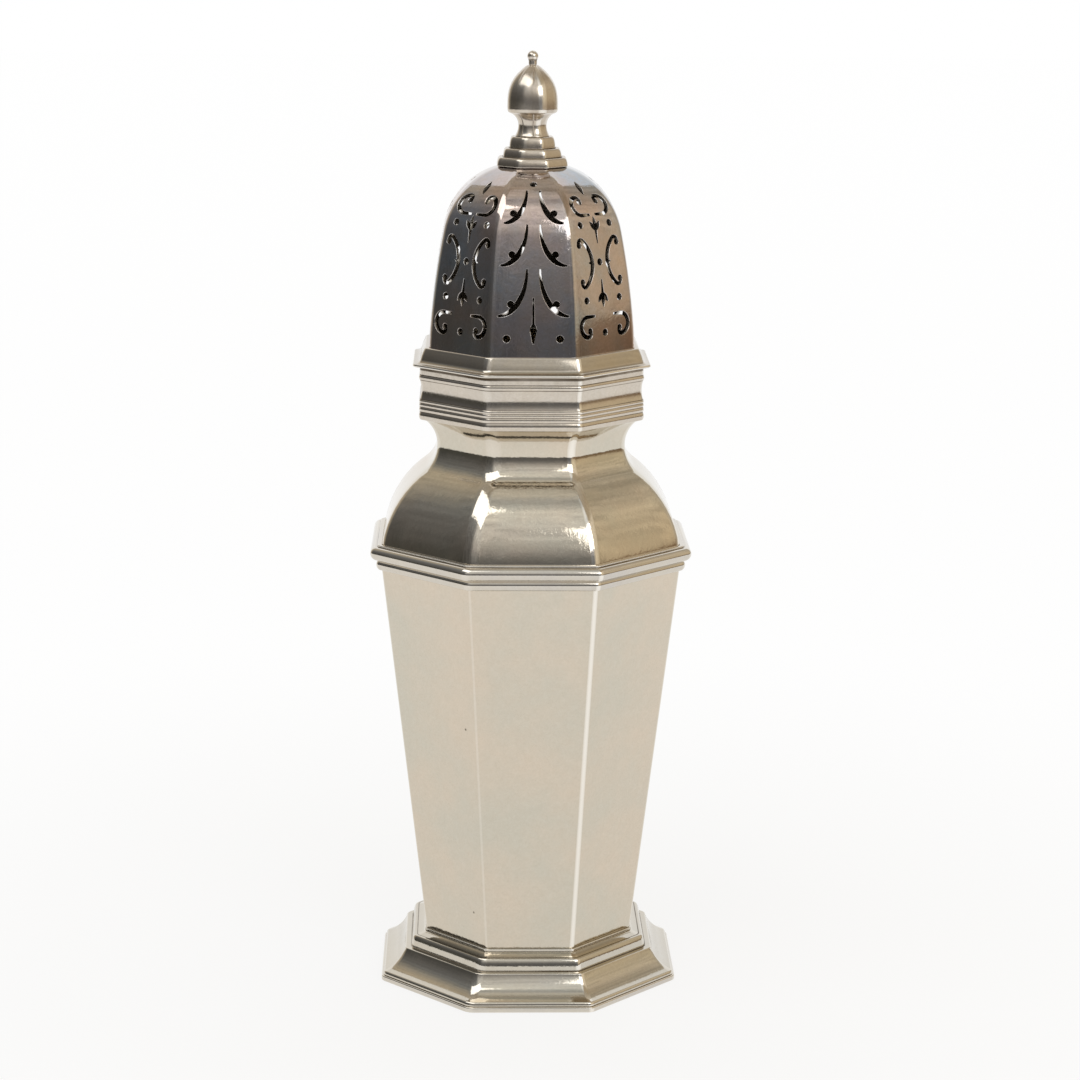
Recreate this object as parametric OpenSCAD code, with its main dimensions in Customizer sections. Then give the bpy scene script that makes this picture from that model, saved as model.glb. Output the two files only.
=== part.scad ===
// Octagonal sugar caster in sheet silver.
// A stepped foot carries a tapering body with a reeded girdle and an incurved neck.
// The pierced dome cover has a sleeve that slides in the neck, and pulls straight up.
// Lengths are in millimetres. Widths are across the flats of the octagon.

/* [Sheet] */
// Thickness of the sheet of the foot and the body
sheet_t = 0.9; // [0.7:0.05:1.2]
// Thickness of the sheet of the dome
dome_t = 0.9; // [0.7:0.05:1.2]

/* [Foot] */
// How much wider the bottom wire of the foot is than the body at the girdle
foot_spread = 1.1; // [-2:0.1:4]
// Height of the bottom wire
foot_wire_h = 1.2; // [0.8:0.1:2.4]
// Thickness of the bottom wire, from outside to inside
foot_wire_t = 2.2; // [1.8:0.1:3]
// Step in from the wire to the rounded edge of the foot
foot_step = 0.4; // [0.2:0.05:0.8]
// Bulge of the rounded edge of the foot
foot_edge_out = 0.25; // [0.1:0.05:0.4]
// Width of the edge of the foot that lies on the wire
foot_lap = 1.2; // [0.8:0.1:1.4]
// Flat ledge between the large cove and the root of the ovolo
foot_ledge = 2.25; // [1.4:0.05:2.6]
// Height of the ovolo, the rounded step above the cove
foot_ovolo_h = 2.4; // [1.8:0.1:3.6]
// How far the ovolo stands out at its foot
foot_ovolo_out = 0.8; // [0.3:0.05:1]
// Flat ledge between the ovolo and the small cove
foot_ovolo_in = 1; // [0.5:0.05:1.4]
// Radius of the small cove under the body
foot_neck_r = 1.2; // [0.7:0.1:1.6]
// Width of the shelf that carries the base plate
foot_shelf = 1.4; // [0.8:0.1:2.4]

/* [Body] */
// Thickness of the base plate
base_t = 0.7; // [0.5:0.05:1.2]
// Overhang of the base plate round the body, a fine fillet
base_lip = 0.3; // [0.1:0.05:0.5]
// Width of the body at the girdle
body_w = 63.1; // [56:0.1:70]
// How much narrower the body is where it stands on the base plate
body_taper = 18.5; // [16:0.1:20]
// Height of the tapering panels
body_h = 81.6; // [65:0.2:100]

/* [Girdle] */
// Height of the lower reed
girdle_low_h = 2.2; // [1.2:0.1:3]
// Bulge of the lower reed
girdle_low_out = 0.5; // [0.2:0.05:0.6]
// Thickness of the band at the root of the lower reed
girdle_low_t = 0.7; // [0.4:0.05:1]
// Height of the upper reed
girdle_up_h = 2.8; // [1.8:0.1:3.6]
// Bulge of the upper reed
girdle_up_out = 0.9; // [0.3:0.05:0.9]
// Thickness of the band at the root of the upper reed
girdle_up_t = 1.55; // [0.8:0.05:2]
// Height of the plain fillet above the reeds
girdle_top_h = 0.4; // [0.3:0.1:1.4]
// Thickness of the band at the plain fillet
girdle_top_t = 0.95; // [0.5:0.05:1.3]

/* [Shoulder and neck] */
// Height from the top of the girdle to the narrowest part of the neck
shoulder_h = 20.6; // [17:0.2:26]
// Lean of the shoulder where it leaves the girdle, in degrees
shoulder_lean = 9.5; // [6:0.5:18]
// Width at the narrowest part of the neck
neck_w = 39.8; // [38:0.2:42]
// Radius of the hollow of the neck
neck_r = 7; // [5.5:0.1:8.5]
// Width of the mouth inside
mouth_w = 43.8; // [42.6:0.1:45]

/* [Collar] */
// Thickness of the collar at the roots of its reeds
collar_t = 0.7; // [0.6:0.05:1.2]
// Height of the lowest band
collar_low_h = 1.75; // [1.2:0.05:2.4]
// Radius of the rounded edges of the lowest band, by which it stands out
collar_low_out = 0.15; // [0.05:0.05:0.4]
// Height of the narrow cove above it
collar_groove_h = 0.6; // [0.4:0.05:1]
// Depth of the narrow cove
collar_groove_in = 0.1; // [0.05:0.05:0.2]
// Height of each of the two small reeds
collar_reed_h = 1; // [0.7:0.05:1.4]
// Bulge of each of the two small reeds
collar_reed_out = 0.2; // [0.1:0.05:0.3]
// Height of the middle band
collar_mid_h = 2.3; // [1.6:0.05:3]
// Radius of the rounded edges of the middle band, by which it stands out
collar_mid_out = 0.2; // [0.1:0.05:0.5]
// Height of the wide cove
collar_cove_h = 1.7; // [1.2:0.05:2.6]
// Depth of the wide cove
collar_cove_in = 0.3; // [0.15:0.05:0.4]
// Height of the bead above the cove
collar_bead_h = 1.35; // [0.9:0.05:1.8]
// Bulge of the bead above the cove
collar_bead_out = 0.25; // [0.1:0.05:0.4]
// Height of the plain band at the mouth
collar_top_h = 1.55; // [0.8:0.05:2.2]

/* [Cover flange and sleeve] */
// Width of the flat ledge of the flange round the dome
flange_ledge = 0.95; // [0.6:0.05:1.3]
// Rise of the flange from its lip to the ledge
flange_rise = 3.3; // [2.8:0.1:4.2]
// Lean of the sloping face of the flange, in degrees
flange_lean = 21; // [14:1:26]
// Radius of the hollow between the sloping face and the lip
flange_hollow_r = 1.1; // [0.7:0.05:1.4]
// Flat rim of the lip outside the hollow
flange_rim = 0.2; // [0.1:0.05:0.8]
// Height of the lip of the flange
flange_lip_h = 0.65; // [0.5:0.05:1.4]
// Bulge of the lip
flange_lip_out = 0.15; // [0.05:0.05:0.25]
// Depth that the sleeve reaches into the neck
sleeve_depth = 10; // [6:0.2:10.4]
// Thickness of the sleeve
sleeve_t = 0.7; // [0.5:0.05:0.9]
// Gap between the sleeve and each flat of the mouth
sleeve_clear = 0.12; // [0.08:0.01:0.3]
// Height of the lead-in at the bottom of the sleeve
sleeve_lead_h = 1; // [0.5:0.1:2]
// Set-in of the lead-in
sleeve_lead_in = 0.25; // [0.1:0.05:0.35]

/* [Dome] */
// How much narrower the dome is at its base than the mouth
dome_in = 0.5; // [0.4:0.1:2.4]
// Height of the dome
dome_h = 37.3; // [31:0.1:45]
// Width of the flat crown that carries the finial
crown_w = 13.8; // [12:0.2:16]
// Lean of the wall at the base, in degrees
dome_lean = 3.2; // [1:0.1:5]
// Lean of the wall where the round of the crown begins, in degrees
wall_lean = 11.3; // [9:0.1:15]
// Lean at the edge of the flat crown, in degrees
crown_lean = 74; // [68:0.5:80]

/* [Piercing of the leaf panels] */
// Diameter of the top dot
leaf_top_dot_d = 1.05; // [0.7:0.05:1.4]
// Diameter of the two bottom dots
leaf_low_dot_d = 1.5; // [1:0.05:2]
// Height of the lowest pair of leaves, along the wall
leaf_low_h = 9.6; // [8:0.1:10.4]
// Height of the middle pair of leaves
leaf_mid_h = 8.4; // [7:0.1:9]
// Height of the top pair of leaves
leaf_up_h = 7.6; // [6:0.1:8.2]
// Greatest width of a leaf
leaf_t = 1.05; // [0.7:0.05:1.3]
// Width of a leaf at its tips
leaf_tip = 0.3; // [0.2:0.05:0.5]
// Gap between the tops of a pair of leaves
leaf_gap = 2.7; // [2:0.1:3.4]
// Plain margin between a leaf and the edge of the panel
leaf_margin = 1.3; // [1:0.1:2.2]
// Diameter of the bud beside each leaf
bud_d = 1.36; // [0.9:0.02:1.6]
// Overlap of the bud with its leaf
bud_sink = 0.15; // [0.1:0.05:0.3]
// Width of the slit of the lance
lance_slit_t = 0.42; // [0.3:0.02:0.6]
// Length of the slit of the lance
lance_slit_l = 5.4; // [4:0.1:6]
// Length of the blade of the lance
lance_blade_l = 4; // [3:0.1:4.4]
// Greatest width of the blade of the lance
lance_blade_t = 1.4; // [1:0.05:1.8]

/* [Piercing of the scroll panels] */
// Diameter of the plain dots
scroll_dot_d = 1.15; // [0.8:0.05:1.5]
// Length of the top petal
petal_l = 3.4; // [2.4:0.1:4]
// Greatest width of the top petal
petal_t = 0.8; // [0.5:0.05:1]
// Radius of the whisker scrolls
whisker_r = 2.1; // [1.7:0.05:2.3]
// Length of the straight whisker
whisker_l = 2.2; // [1.4:0.1:2.4]
// Radius of the hook of each scroll
hook_r = 0.86; // [0.7:0.02:0.96]
// Plain margin between a whisker scroll and the edge of the panel
scroll_margin = 1.7; // [1.3:0.1:2.4]
// Diameter of the ball that ends each hook
ball_d = 1.25; // [0.9:0.05:1.3]
// Width of the cut at the ends of each scroll
scroll_end_t = 0.4; // [0.3:0.02:0.5]
// Greatest width of the cut of each scroll
scroll_t = 0.84; // [0.5:0.02:0.9]
// Half of the height of the pair of long scrolls, without their hooks
long_half_h = 4.7; // [3.8:0.1:5]
// Radius of the long scrolls
long_r = 6; // [5.6:0.1:7.4]
// Distance of each long scroll from the middle of the panel
long_reach = 2.3; // [2:0.05:2.6]
// Height of the cusp in the hollow of each long scroll
cusp_h = 0.55; // [0.3:0.05:0.7]
// Length of the petals of the sprig
sprig_petal_l = 2.3; // [1.6:0.1:2.8]
// Width of the petals of the sprig
sprig_petal_t = 0.6; // [0.4:0.02:0.8]
// Spread of the side petals of the sprig, in degrees
sprig_spread = 34; // [26:1:42]
// Length of the tail of the sprig
sprig_tail_l = 3.1; // [2:0.1:3.4]

/* [Finial] */
// How much wider the lowest step of the plinth is than the flat crown
plinth_over = 1; // [0.2:0.1:1.6]
// Height of the lowest step
plinth_low_h = 1.9; // [1.4:0.1:2.8]
// How much narrower each of the two upper steps is than the step below it
plinth_step = 2.6; // [2:0.1:2.8]
// Height of the middle step
plinth_mid_h = 1.85; // [1.2:0.05:2.6]
// Height of the top step
plinth_up_h = 2.4; // [1.4:0.05:3]
// How far the top of each step is rounded in
plinth_round = 0.7; // [0.3:0.05:0.8]
// Width of the stem at its narrowest
stem_w = 5.9; // [4.6:0.1:6.4]
// Radius of the hollow of the stem below its narrowest part
stem_low_r = 4; // [3.4:0.1:6]
// Radius of the hollow of the stem under the knop
stem_up_r = 2.75; // [2.65:0.05:4]
// Height from the plinth to the narrowest part of the stem
stem_low_h = 2.3; // [2:0.1:2.7]
// Height from the narrowest part of the stem to the knop
stem_up_h = 2.6; // [1.8:0.05:2.6]
// Height of the rounded lower edge of the knop
knop_edge_h = 0.95; // [0.5:0.05:1.6]
// How far the knop stands out over the top of its stem
knop_over = 0.47; // [0.2:0.05:0.8]
// Height of the pointed top of the knop, without its small flat
knop_h = 9.6; // [7:0.1:11]
// Width of the small flat on top of the knop
knop_flat_w = 2.2; // [2:0.1:2.8]
// Diameter of the bead on top
bead_d = 2.3; // [2.1:0.05:3]
// Diameter of the neck of the bead
bead_neck_d = 1.75; // [1.2:0.05:1.8]
// Height of the neck of the bead
bead_neck_h = 0.65; // [0.3:0.05:1]
// Diameter of the tang that holds the finial
tang_d = 2.2; // [1.6:0.1:2.8]
// Gap round the tang in its holes
tang_clear = 0.1; // [0.05:0.01:0.2]
// Length of tang that shows below the nut
tang_end = 0.6; // [0.2:0.1:1.2]
// Width of the nut across its flats
nut_w = 4.6; // [4:0.1:6]
// Height of the nut
nut_h = 1.6; // [1:0.1:2.4]

/* [Hidden] */
panels = 8;
turn = 360 / panels;
corner = 1 / cos(turn / 2);
// Greatest angle between the points of a round
arc_step = 6;
// Steps of a rounded step of a moulding
round_steps = 8;
// Points along the cut of a leaf or scroll
cut_steps = 8;
hook_steps = 4;
// How far a cut runs past the face it opens
over = 0.5;

// Half widths of the foot, from the body out; the large cove takes what room is left
body_a = body_w / 2;
body_foot_a = (body_w - body_taper) / 2;
base_a = body_foot_a + base_lip;
foot_a = (body_w + foot_spread) / 2;
foot_root_a = foot_a - foot_step - foot_edge_out;
foot_ovolo_a = base_a + foot_neck_r + foot_ovolo_in;
foot_cove_r = foot_root_a - foot_ovolo_a - foot_ledge;
// Heights of the foot
z_wire = foot_wire_h;
z_edge = z_wire + sheet_t;
z_cove = z_edge + foot_cove_r;
z_ovolo = z_cove + foot_ovolo_h;
z_foot = z_ovolo + foot_neck_r;
// Heights of the body
z_body = z_foot + base_t;
z_girdle = z_body + body_h;
girdle_h = girdle_low_h + girdle_up_h + girdle_top_h;
z_seam = z_girdle + girdle_low_h;
z_shoulder = z_girdle + girdle_h;
z_neck = z_shoulder + shoulder_h;
// The neck flares out again above its narrowest part, up to the upright tube of the mouth
neck_a = neck_w / 2;
tube_a = mouth_w / 2 + sheet_t;
flare_in = neck_a + neck_r - tube_a;
flare_h = sqrt(neck_r * neck_r - flare_in * flare_in);
z_collar = z_neck + flare_h;
collar_h = collar_low_h + collar_groove_h + 2 * collar_reed_h + collar_mid_h
         + collar_cove_h + collar_bead_h + collar_top_h;
z_mouth = z_collar + collar_h;
// Heights of the cover
z_lip = z_mouth + flange_lip_h;
z_dome = z_lip + flange_rise;
z_crown = z_dome + dome_h;
z_plinth = z_crown + plinth_low_h + plinth_mid_h + plinth_up_h;
z_stem = z_plinth + stem_low_h;
z_knop = z_stem + stem_up_h;
z_round = z_knop + knop_edge_h;

// The shoulder is a round that meets the hollow of the neck without a break
shoulder_e = [cos(shoulder_lean), sin(shoulder_lean)];
shoulder_d = [neck_a + neck_r - body_a, shoulder_h];
shoulder_r = (shoulder_d * shoulder_d - neck_r * neck_r) / (2 * (neck_r - shoulder_d * shoulder_e));
shoulder_c = [body_a, z_shoulder] - shoulder_r * shoulder_e;
neck_c = [neck_a + neck_r, z_neck];
shoulder_turn = atan2(neck_c[1] - shoulder_c[1], neck_c[0] - shoulder_c[0]);
flare_turn = asin(flare_h / neck_r);
flare_turn_in = acos((flare_in + sheet_t) / (neck_r + sheet_t));

// The dome's wall is a long round, and its crown a short one that carries on from it
dome_a = (mouth_w - dome_in) / 2;
crown_a = crown_w / 2;
wall_k = [cos(dome_lean) - cos(wall_lean), sin(wall_lean) - sin(dome_lean)];
crown_k = [cos(wall_lean) - cos(crown_lean), sin(crown_lean) - sin(wall_lean)];
dome_k = wall_k[0] * crown_k[1] - crown_k[0] * wall_k[1];
wall_r = ((dome_a - crown_a) * crown_k[1] - crown_k[0] * dome_h) / dome_k;
crown_r = (wall_k[0] * dome_h - wall_k[1] * (dome_a - crown_a)) / dome_k;
wall_c = [dome_a, z_dome] - wall_r * [cos(dome_lean), sin(dome_lean)];
crown_c = [crown_a, z_crown] - crown_r * [cos(crown_lean), sin(crown_lean)];
wall_l = wall_r * (wall_lean - dome_lean) * PI / 180;
crown_l = crown_r * (crown_lean - wall_lean) * PI / 180;
panel_l = wall_l + crown_l;

// Rows of the piercing, as shares of the length of a panel from the base up
leaf_dot_row = 0.087;
lance_tip_row = 0.064;
leaf_low_row = 0.196;
leaf_mid_row = 0.437;
leaf_up_row = 0.64;
leaf_top_row = 0.857;
scroll_foot_row = 0.135;
scroll_low_dot_row = 0.1;
sprig_low_row = 0.262;
long_row = 0.44;
sprig_up_row = 0.605;
scroll_head_row = 0.72;
petal_row = 0.785;
// Places of the side dots, as shares of half of the width of a panel
leaf_dot_share = 0.62;
scroll_dot_share = 0.58;
// Length of a cut through the wall, which is long enough for the round of the crown
cut_l = 6 * dome_t;

$fn = 48;

// Points of a round about c from angle p to angle q
function arc(c, r, p, q) =
    let (n = max(2, ceil(abs(q - p) / arc_step)))
    [for (i = [0:n]) let (t = p + (q - p) * i / n) c + r * [cos(t), sin(t)]];

// Round of height h that stands out from its root, or is let into it
function swell(root, z, h, out) =
    let (r = (h * h / 4 + out * out) / (2 * abs(out)), t = asin(min(1, h / (2 * r))))
    out > 0 ? arc([root + out - r, z + h / 2], r, -t, t)
            : arc([root + out + r, z + h / 2], r, 180 + t, 180 - t);

// Rounded step that stands out at its foot and runs back to its root at height h
function ovolo(root, z, h, out) =
    [for (i = [0:round_steps]) let (t = 90 * i / round_steps) [root + out * cos(t), z + h * sin(t)]];

// Flat band with rounded edges, which stands out from its root by the radius of the edges
function band(root, z, h, r) = concat(arc([root, z + r], r, -90, 0), arc([root, z + h - r], r, 0, 90));

function reversed(p) = [for (i = [len(p) - 1:-1:0]) p[i]];
function mirrored(p) = [for (q = reversed(p)) [-q[0], q[1]]];

// Solid octagon whose half width follows a profile of [half width, height]
module octagon(profile) {
    outline = concat(profile, mirrored(profile));
    reach = max([for (q = profile) q[0]]) * corner;
    intersection_for (k = [0:panels / 2 - 1])
        rotate([90, 0, k * turn])
            linear_extrude(height = 2 * reach, center = true)
                polygon(outline);
}

// Straight octagonal bar from height z up
module bar(half_w, z, h) {
    translate([0, 0, z])
        rotate([0, 0, turn / 2])
            cylinder(h = h, r = half_w * corner, $fn = panels);
}

// Foot

module foot_rim() {
    color("#D3CCC0")
        difference() {
            bar(foot_a, 0, foot_wire_h);
            bar(foot_a - foot_wire_t, -over, foot_wire_h + 2 * over);
        }
}

module foot() {
    cove_c = [foot_root_a, z_cove];
    cove_in_r = foot_cove_r + sheet_t;
    outside = concat(
        swell(foot_root_a, z_wire, sheet_t, foot_edge_out),
        arc(cove_c, foot_cove_r, 270, 180),
        ovolo(foot_ovolo_a, z_cove, foot_ovolo_h, foot_ovolo_out),
        arc([base_a + foot_neck_r, z_foot], foot_neck_r, 270, 180));
    inside = concat(
        [[foot_root_a - foot_lap, z_wire - over]],
        arc(cove_c, cove_in_r, 180 + acos(foot_lap / cove_in_r), 180 + asin(sheet_t / cove_in_r)),
        [[foot_ovolo_a - sheet_t, z_cove - sheet_t],
         [foot_ovolo_a - sheet_t, z_ovolo - sheet_t],
         [base_a - foot_shelf, z_ovolo - sheet_t],
         [base_a - foot_shelf, z_foot + over]]);
    color("#BDB6A8")
        difference() {
            octagon(outside);
            octagon(inside);
        }
}

// Body

module base_plate() {
    color("#C9C2B4")
        bar(base_a, z_foot, base_t);
}

module lower_body() {
    outside = [[body_foot_a, z_body], [body_a, z_girdle], [body_a, z_seam]];
    inside = [[body_foot_a - sheet_t, z_body - over],
              [body_foot_a - sheet_t, z_body],
              [body_a - sheet_t, z_girdle],
              [body_a - sheet_t, z_seam + over]];
    color("#CBC3B5")
        difference() {
            octagon(outside);
            octagon(inside);
        }
}

module girdle_band() {
    outside = concat(
        swell(body_a + girdle_low_t, z_girdle, girdle_low_h, girdle_low_out),
        swell(body_a + girdle_up_t, z_seam, girdle_up_h, girdle_up_out),
        [[body_a + girdle_top_t, z_shoulder - girdle_top_h], [body_a + girdle_top_t, z_shoulder]]);
    color("#D8D2C6")
        difference() {
            octagon(outside);
            bar(body_a, z_girdle - over, girdle_h + 2 * over);
        }
}

module shoulder() {
    outside = concat(
        [[body_a, z_seam]],
        arc(shoulder_c, shoulder_r, shoulder_lean, shoulder_turn),
        arc(neck_c, neck_r, 180 + shoulder_turn, 180 - flare_turn),
        [[tube_a, z_mouth]]);
    inside = concat(
        [[body_a - sheet_t, z_seam - over]],
        arc(shoulder_c, shoulder_r - sheet_t, shoulder_lean, shoulder_turn),
        arc(neck_c, neck_r + sheet_t, 180 + shoulder_turn, 180 - flare_turn_in),
        [[tube_a - sheet_t, z_mouth + over]]);
    color("#A9A398")
        difference() {
            octagon(outside);
            octagon(inside);
        }
}

module neck_collar() {
    root = tube_a + collar_t;
    z_groove = z_collar + collar_low_h;
    z_reeds = z_groove + collar_groove_h;
    z_mid_band = z_reeds + 2 * collar_reed_h;
    z_hollow = z_mid_band + collar_mid_h;
    z_top_bead = z_hollow + collar_cove_h;
    outside = concat(
        band(root, z_collar, collar_low_h, collar_low_out),
        swell(root, z_groove, collar_groove_h, -collar_groove_in),
        swell(root, z_reeds, collar_reed_h, collar_reed_out),
        swell(root, z_reeds + collar_reed_h, collar_reed_h, collar_reed_out),
        band(root, z_mid_band, collar_mid_h, collar_mid_out),
        swell(root, z_hollow, collar_cove_h, -collar_cove_in),
        swell(root, z_top_bead, collar_bead_h, collar_bead_out),
        [[root, z_mouth]]);
    color("#D8D2C6")
        difference() {
            octagon(outside);
            bar(tube_a, z_collar - over, collar_h + 2 * over);
        }
}

// Cover

sleeve_a = mouth_w / 2 - sleeve_clear;

module cover_sleeve() {
    outside = [[sleeve_a - sleeve_lead_in, z_mouth - sleeve_depth],
               [sleeve_a, z_mouth - sleeve_depth + sleeve_lead_h],
               [sleeve_a, z_mouth]];
    color("#BDB6A8")
        difference() {
            octagon(outside);
            bar(sleeve_a - sleeve_t, z_mouth - sleeve_depth - over, sleeve_depth + 2 * over);
        }
}

module cover_flange() {
    ledge_a = dome_a + flange_ledge;
    // The hollow meets the sloping face without a break and runs out flat on the lip
    slope_in = (flange_rise - flange_hollow_r) * sin(flange_lean);
    hollow_a = ledge_a + (flange_hollow_r + slope_in) / cos(flange_lean);
    outside = concat(
        swell(hollow_a + flange_rim, z_mouth, flange_lip_h, flange_lip_out),
        arc([hollow_a, z_lip + flange_hollow_r], flange_hollow_r, 270, 180 + flange_lean),
        [[ledge_a, z_dome]]);
    color("#D3CCC0")
        difference() {
            octagon(outside);
            bar(dome_a - dome_t, z_mouth - over, z_dome - z_mouth + 2 * over);
        }
}

// Point of the dome's wall, [half width, height, lean], at a length v up the panel from its base
function wall_point(v) =
    let (low = v < wall_l,
         lean = low ? dome_lean + v / wall_r * 180 / PI : wall_lean + (v - wall_l) / crown_r * 180 / PI,
         p = low ? wall_c + wall_r * [cos(lean), sin(lean)] : crown_c + crown_r * [cos(lean), sin(lean)])
    [p[0], p[1], lean];

// Half of the width of a panel at a length v up from its base
function panel_half(v) = wall_point(v)[0] * tan(turn / 2);

// Cut through the wall, square to it, drawn flat about a point in the middle of the panel
module pierce(v) {
    p = wall_point(v);
    translate([0, -p[0], p[1]])
        rotate([90 - p[2], 0, 0])
            linear_extrude(height = cut_l, center = true)
                children();
}

// One side of a cut that follows a path with a width at each of its points
function cut_side(path, widths, side) =
    [for (i = [0:len(path) - 1])
        let (d = path[min(i + 1, len(path) - 1)] - path[max(i - 1, 0)], n = [-d[1], d[0]] / norm(d))
        path[i] + side * widths[i] / 2 * n];

module cut_along(path, widths) {
    polygon(concat(cut_side(path, widths, 1), reversed(cut_side(path, widths, -1))));
}

// Widths along a cut that swells from its ends, fullest where share ^ skew is a half
function cut_widths(n, tip, full, skew) =
    [for (i = [0:n - 1]) tip + (full - tip) * sin(180 * pow(i / (n - 1), skew))];

module both_sides() {
    children();
    mirror([1, 0]) children();
}

// Leaf that drops from the middle and sweeps out, with a bud in its hollow
leaf_skew = 1.25;
bud_turn = 55;

module leaf(rise, reach) {
    path = [for (i = [0:cut_steps]) let (t = 90 * i / cut_steps) [reach * (1 - cos(t)), rise * (1 - sin(t))]];
    d = [reach * sin(bud_turn), -rise * cos(bud_turn)];
    n = [-d[1], d[0]] / norm(d);
    bud_w = leaf_tip + (leaf_t - leaf_tip) * sin(180 * pow(bud_turn / 90, leaf_skew));
    bud = [reach * (1 - cos(bud_turn)), rise * (1 - sin(bud_turn))]
        + n * (bud_w / 2 + bud_d / 2 - bud_sink);
    cut_along(path, cut_widths(len(path), leaf_tip, leaf_t, leaf_skew));
    translate(bud) circle(d = bud_d, $fn = 20);
}

module leaf_pair(row, rise) {
    v = row * panel_l;
    pierce(v + rise / 2)
        both_sides()
            translate([leaf_gap / 2, -rise / 2])
                leaf(rise, panel_half(v) - leaf_margin - leaf_gap / 2);
}

module lance() {
    barb_share = 0.88;
    barb_t = 0.72 * lance_blade_t;
    wide_share = 0.7;
    tip_t = 0.6 * lance_slit_t;
    half = [[tip_t / 2, lance_blade_l + lance_slit_l],
            [lance_slit_t / 2, lance_blade_l],
            [barb_t / 2, barb_share * lance_blade_l],
            [lance_blade_t / 2, wide_share * lance_blade_l],
            [tip_t / 2, 0]];
    polygon(concat(half, mirrored(half)));
}

module leaf_panel() {
    pierce(leaf_top_row * panel_l) circle(d = leaf_top_dot_d, $fn = 20);
    leaf_pair(leaf_up_row, leaf_up_h);
    leaf_pair(leaf_mid_row, leaf_mid_h);
    leaf_pair(leaf_low_row, leaf_low_h);
    pierce(lance_tip_row * panel_l) lance();
    v_dot = leaf_dot_row * panel_l;
    pierce(v_dot)
        both_sides()
            translate([leaf_dot_share * panel_half(v_dot), 0]) circle(d = leaf_low_dot_d, $fn = 24);
}

// Scroll that bulges outward, with a hooked ball above and a straight whisker below
module whisker_scroll() {
    hook_turn = 215;
    hook_c = [0, whisker_r - hook_r];
    path = concat(
        [for (i = [0:hook_steps - 1])
            hook_c + hook_r * [cos(hook_turn - (hook_turn - 90) * i / hook_steps),
                               sin(hook_turn - (hook_turn - 90) * i / hook_steps)]],
        [for (i = [0:cut_steps]) whisker_r * [cos(90 - 180 * i / cut_steps), sin(90 - 180 * i / cut_steps)]],
        [[-whisker_l, -whisker_r]]);
    cut_along(path, cut_widths(len(path), scroll_end_t, scroll_t, 1));
    translate(hook_c + (hook_r - ball_d / 5) * [cos(hook_turn), sin(hook_turn)]) circle(d = ball_d, $fn = 20);
}

// Long scroll that bulges to the middle, with a hooked ball at each end and a cusp in its hollow
module long_scroll() {
    half_turn = asin(long_half_h / long_r);
    hook_turn = half_turn + 150;
    main_c = [long_reach + long_r, 0];
    hook_c = main_c + (long_r - hook_r) * [-cos(half_turn), sin(half_turn)];
    top_hook = [for (i = [0:hook_steps - 1])
        let (t = hook_turn - (hook_turn - half_turn) * i / hook_steps)
        hook_c + hook_r * [-cos(t), sin(t)]];
    path = concat(
        top_hook,
        [for (i = [0:cut_steps])
            let (t = half_turn * (1 - 2 * i / cut_steps))
            main_c + long_r * [-cos(t), sin(t)]],
        [for (q = reversed(top_hook)) [q[0], -q[1]]]);
    ball = hook_c + (hook_r - ball_d / 5) * [-cos(hook_turn), sin(hook_turn)];
    cut_along(path, cut_widths(len(path), scroll_end_t, scroll_t, 1));
    translate(ball) circle(d = ball_d, $fn = 20);
    translate([ball[0], -ball[1]]) circle(d = ball_d, $fn = 20);
    translate([long_reach, 0]) polygon([[0, cusp_h], [scroll_t / 2 + cusp_h, 0], [0, -cusp_h]]);
}

// Petal with a point at each end, from the origin up
module petal(l, t) {
    half = [for (i = [0:cut_steps]) [t / 2 * sin(180 * i / cut_steps) + scroll_end_t / 8, l * i / cut_steps]];
    polygon(concat(half, mirrored(half)));
}

// Three petals over a tapering tail
module sprig() {
    root = sprig_petal_l / 4;
    translate([0, -root]) petal(sprig_petal_l + root, sprig_petal_t);
    for (s = [-1, 1])
        translate([0, -root])
            rotate([0, 0, s * sprig_spread])
                petal(sprig_petal_l, sprig_petal_t);
    polygon([[sprig_petal_t / 2, 0], [scroll_end_t / 4, -sprig_tail_l],
             [-scroll_end_t / 4, -sprig_tail_l], [-sprig_petal_t / 2, 0]]);
}

module whisker_row(row, up) {
    v = row * panel_l;
    pierce(v)
        both_sides()
            translate([panel_half(v) - scroll_margin - whisker_r, 0])
                mirror([0, up ? 0 : 1])
                    whisker_scroll();
}

module scroll_panel() {
    v_low = sprig_low_row * panel_l;
    v_up = sprig_up_row * panel_l;
    sprig_lift = sprig_petal_l / 3;
    pierce(petal_row * panel_l) mirror([0, 1]) translate([0, -petal_l]) petal(petal_l, petal_t);
    whisker_row(scroll_head_row, true);
    pierce(v_up) {
        sprig();
        both_sides()
            translate([scroll_dot_share * panel_half(v_up), sprig_lift]) circle(d = scroll_dot_d, $fn = 20);
    }
    pierce(long_row * panel_l) {
        both_sides() long_scroll();
        circle(d = scroll_dot_d, $fn = 20);
    }
    pierce(v_low) {
        mirror([0, 1]) translate([0, -sprig_lift]) sprig();
        both_sides()
            translate([scroll_dot_share * panel_half(v_low), 0]) circle(d = scroll_dot_d, $fn = 20);
    }
    whisker_row(scroll_foot_row, false);
    pierce(scroll_low_dot_row * panel_l) circle(d = scroll_dot_d, $fn = 20);
}

tang_hole_d = tang_d + 2 * tang_clear;

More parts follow.
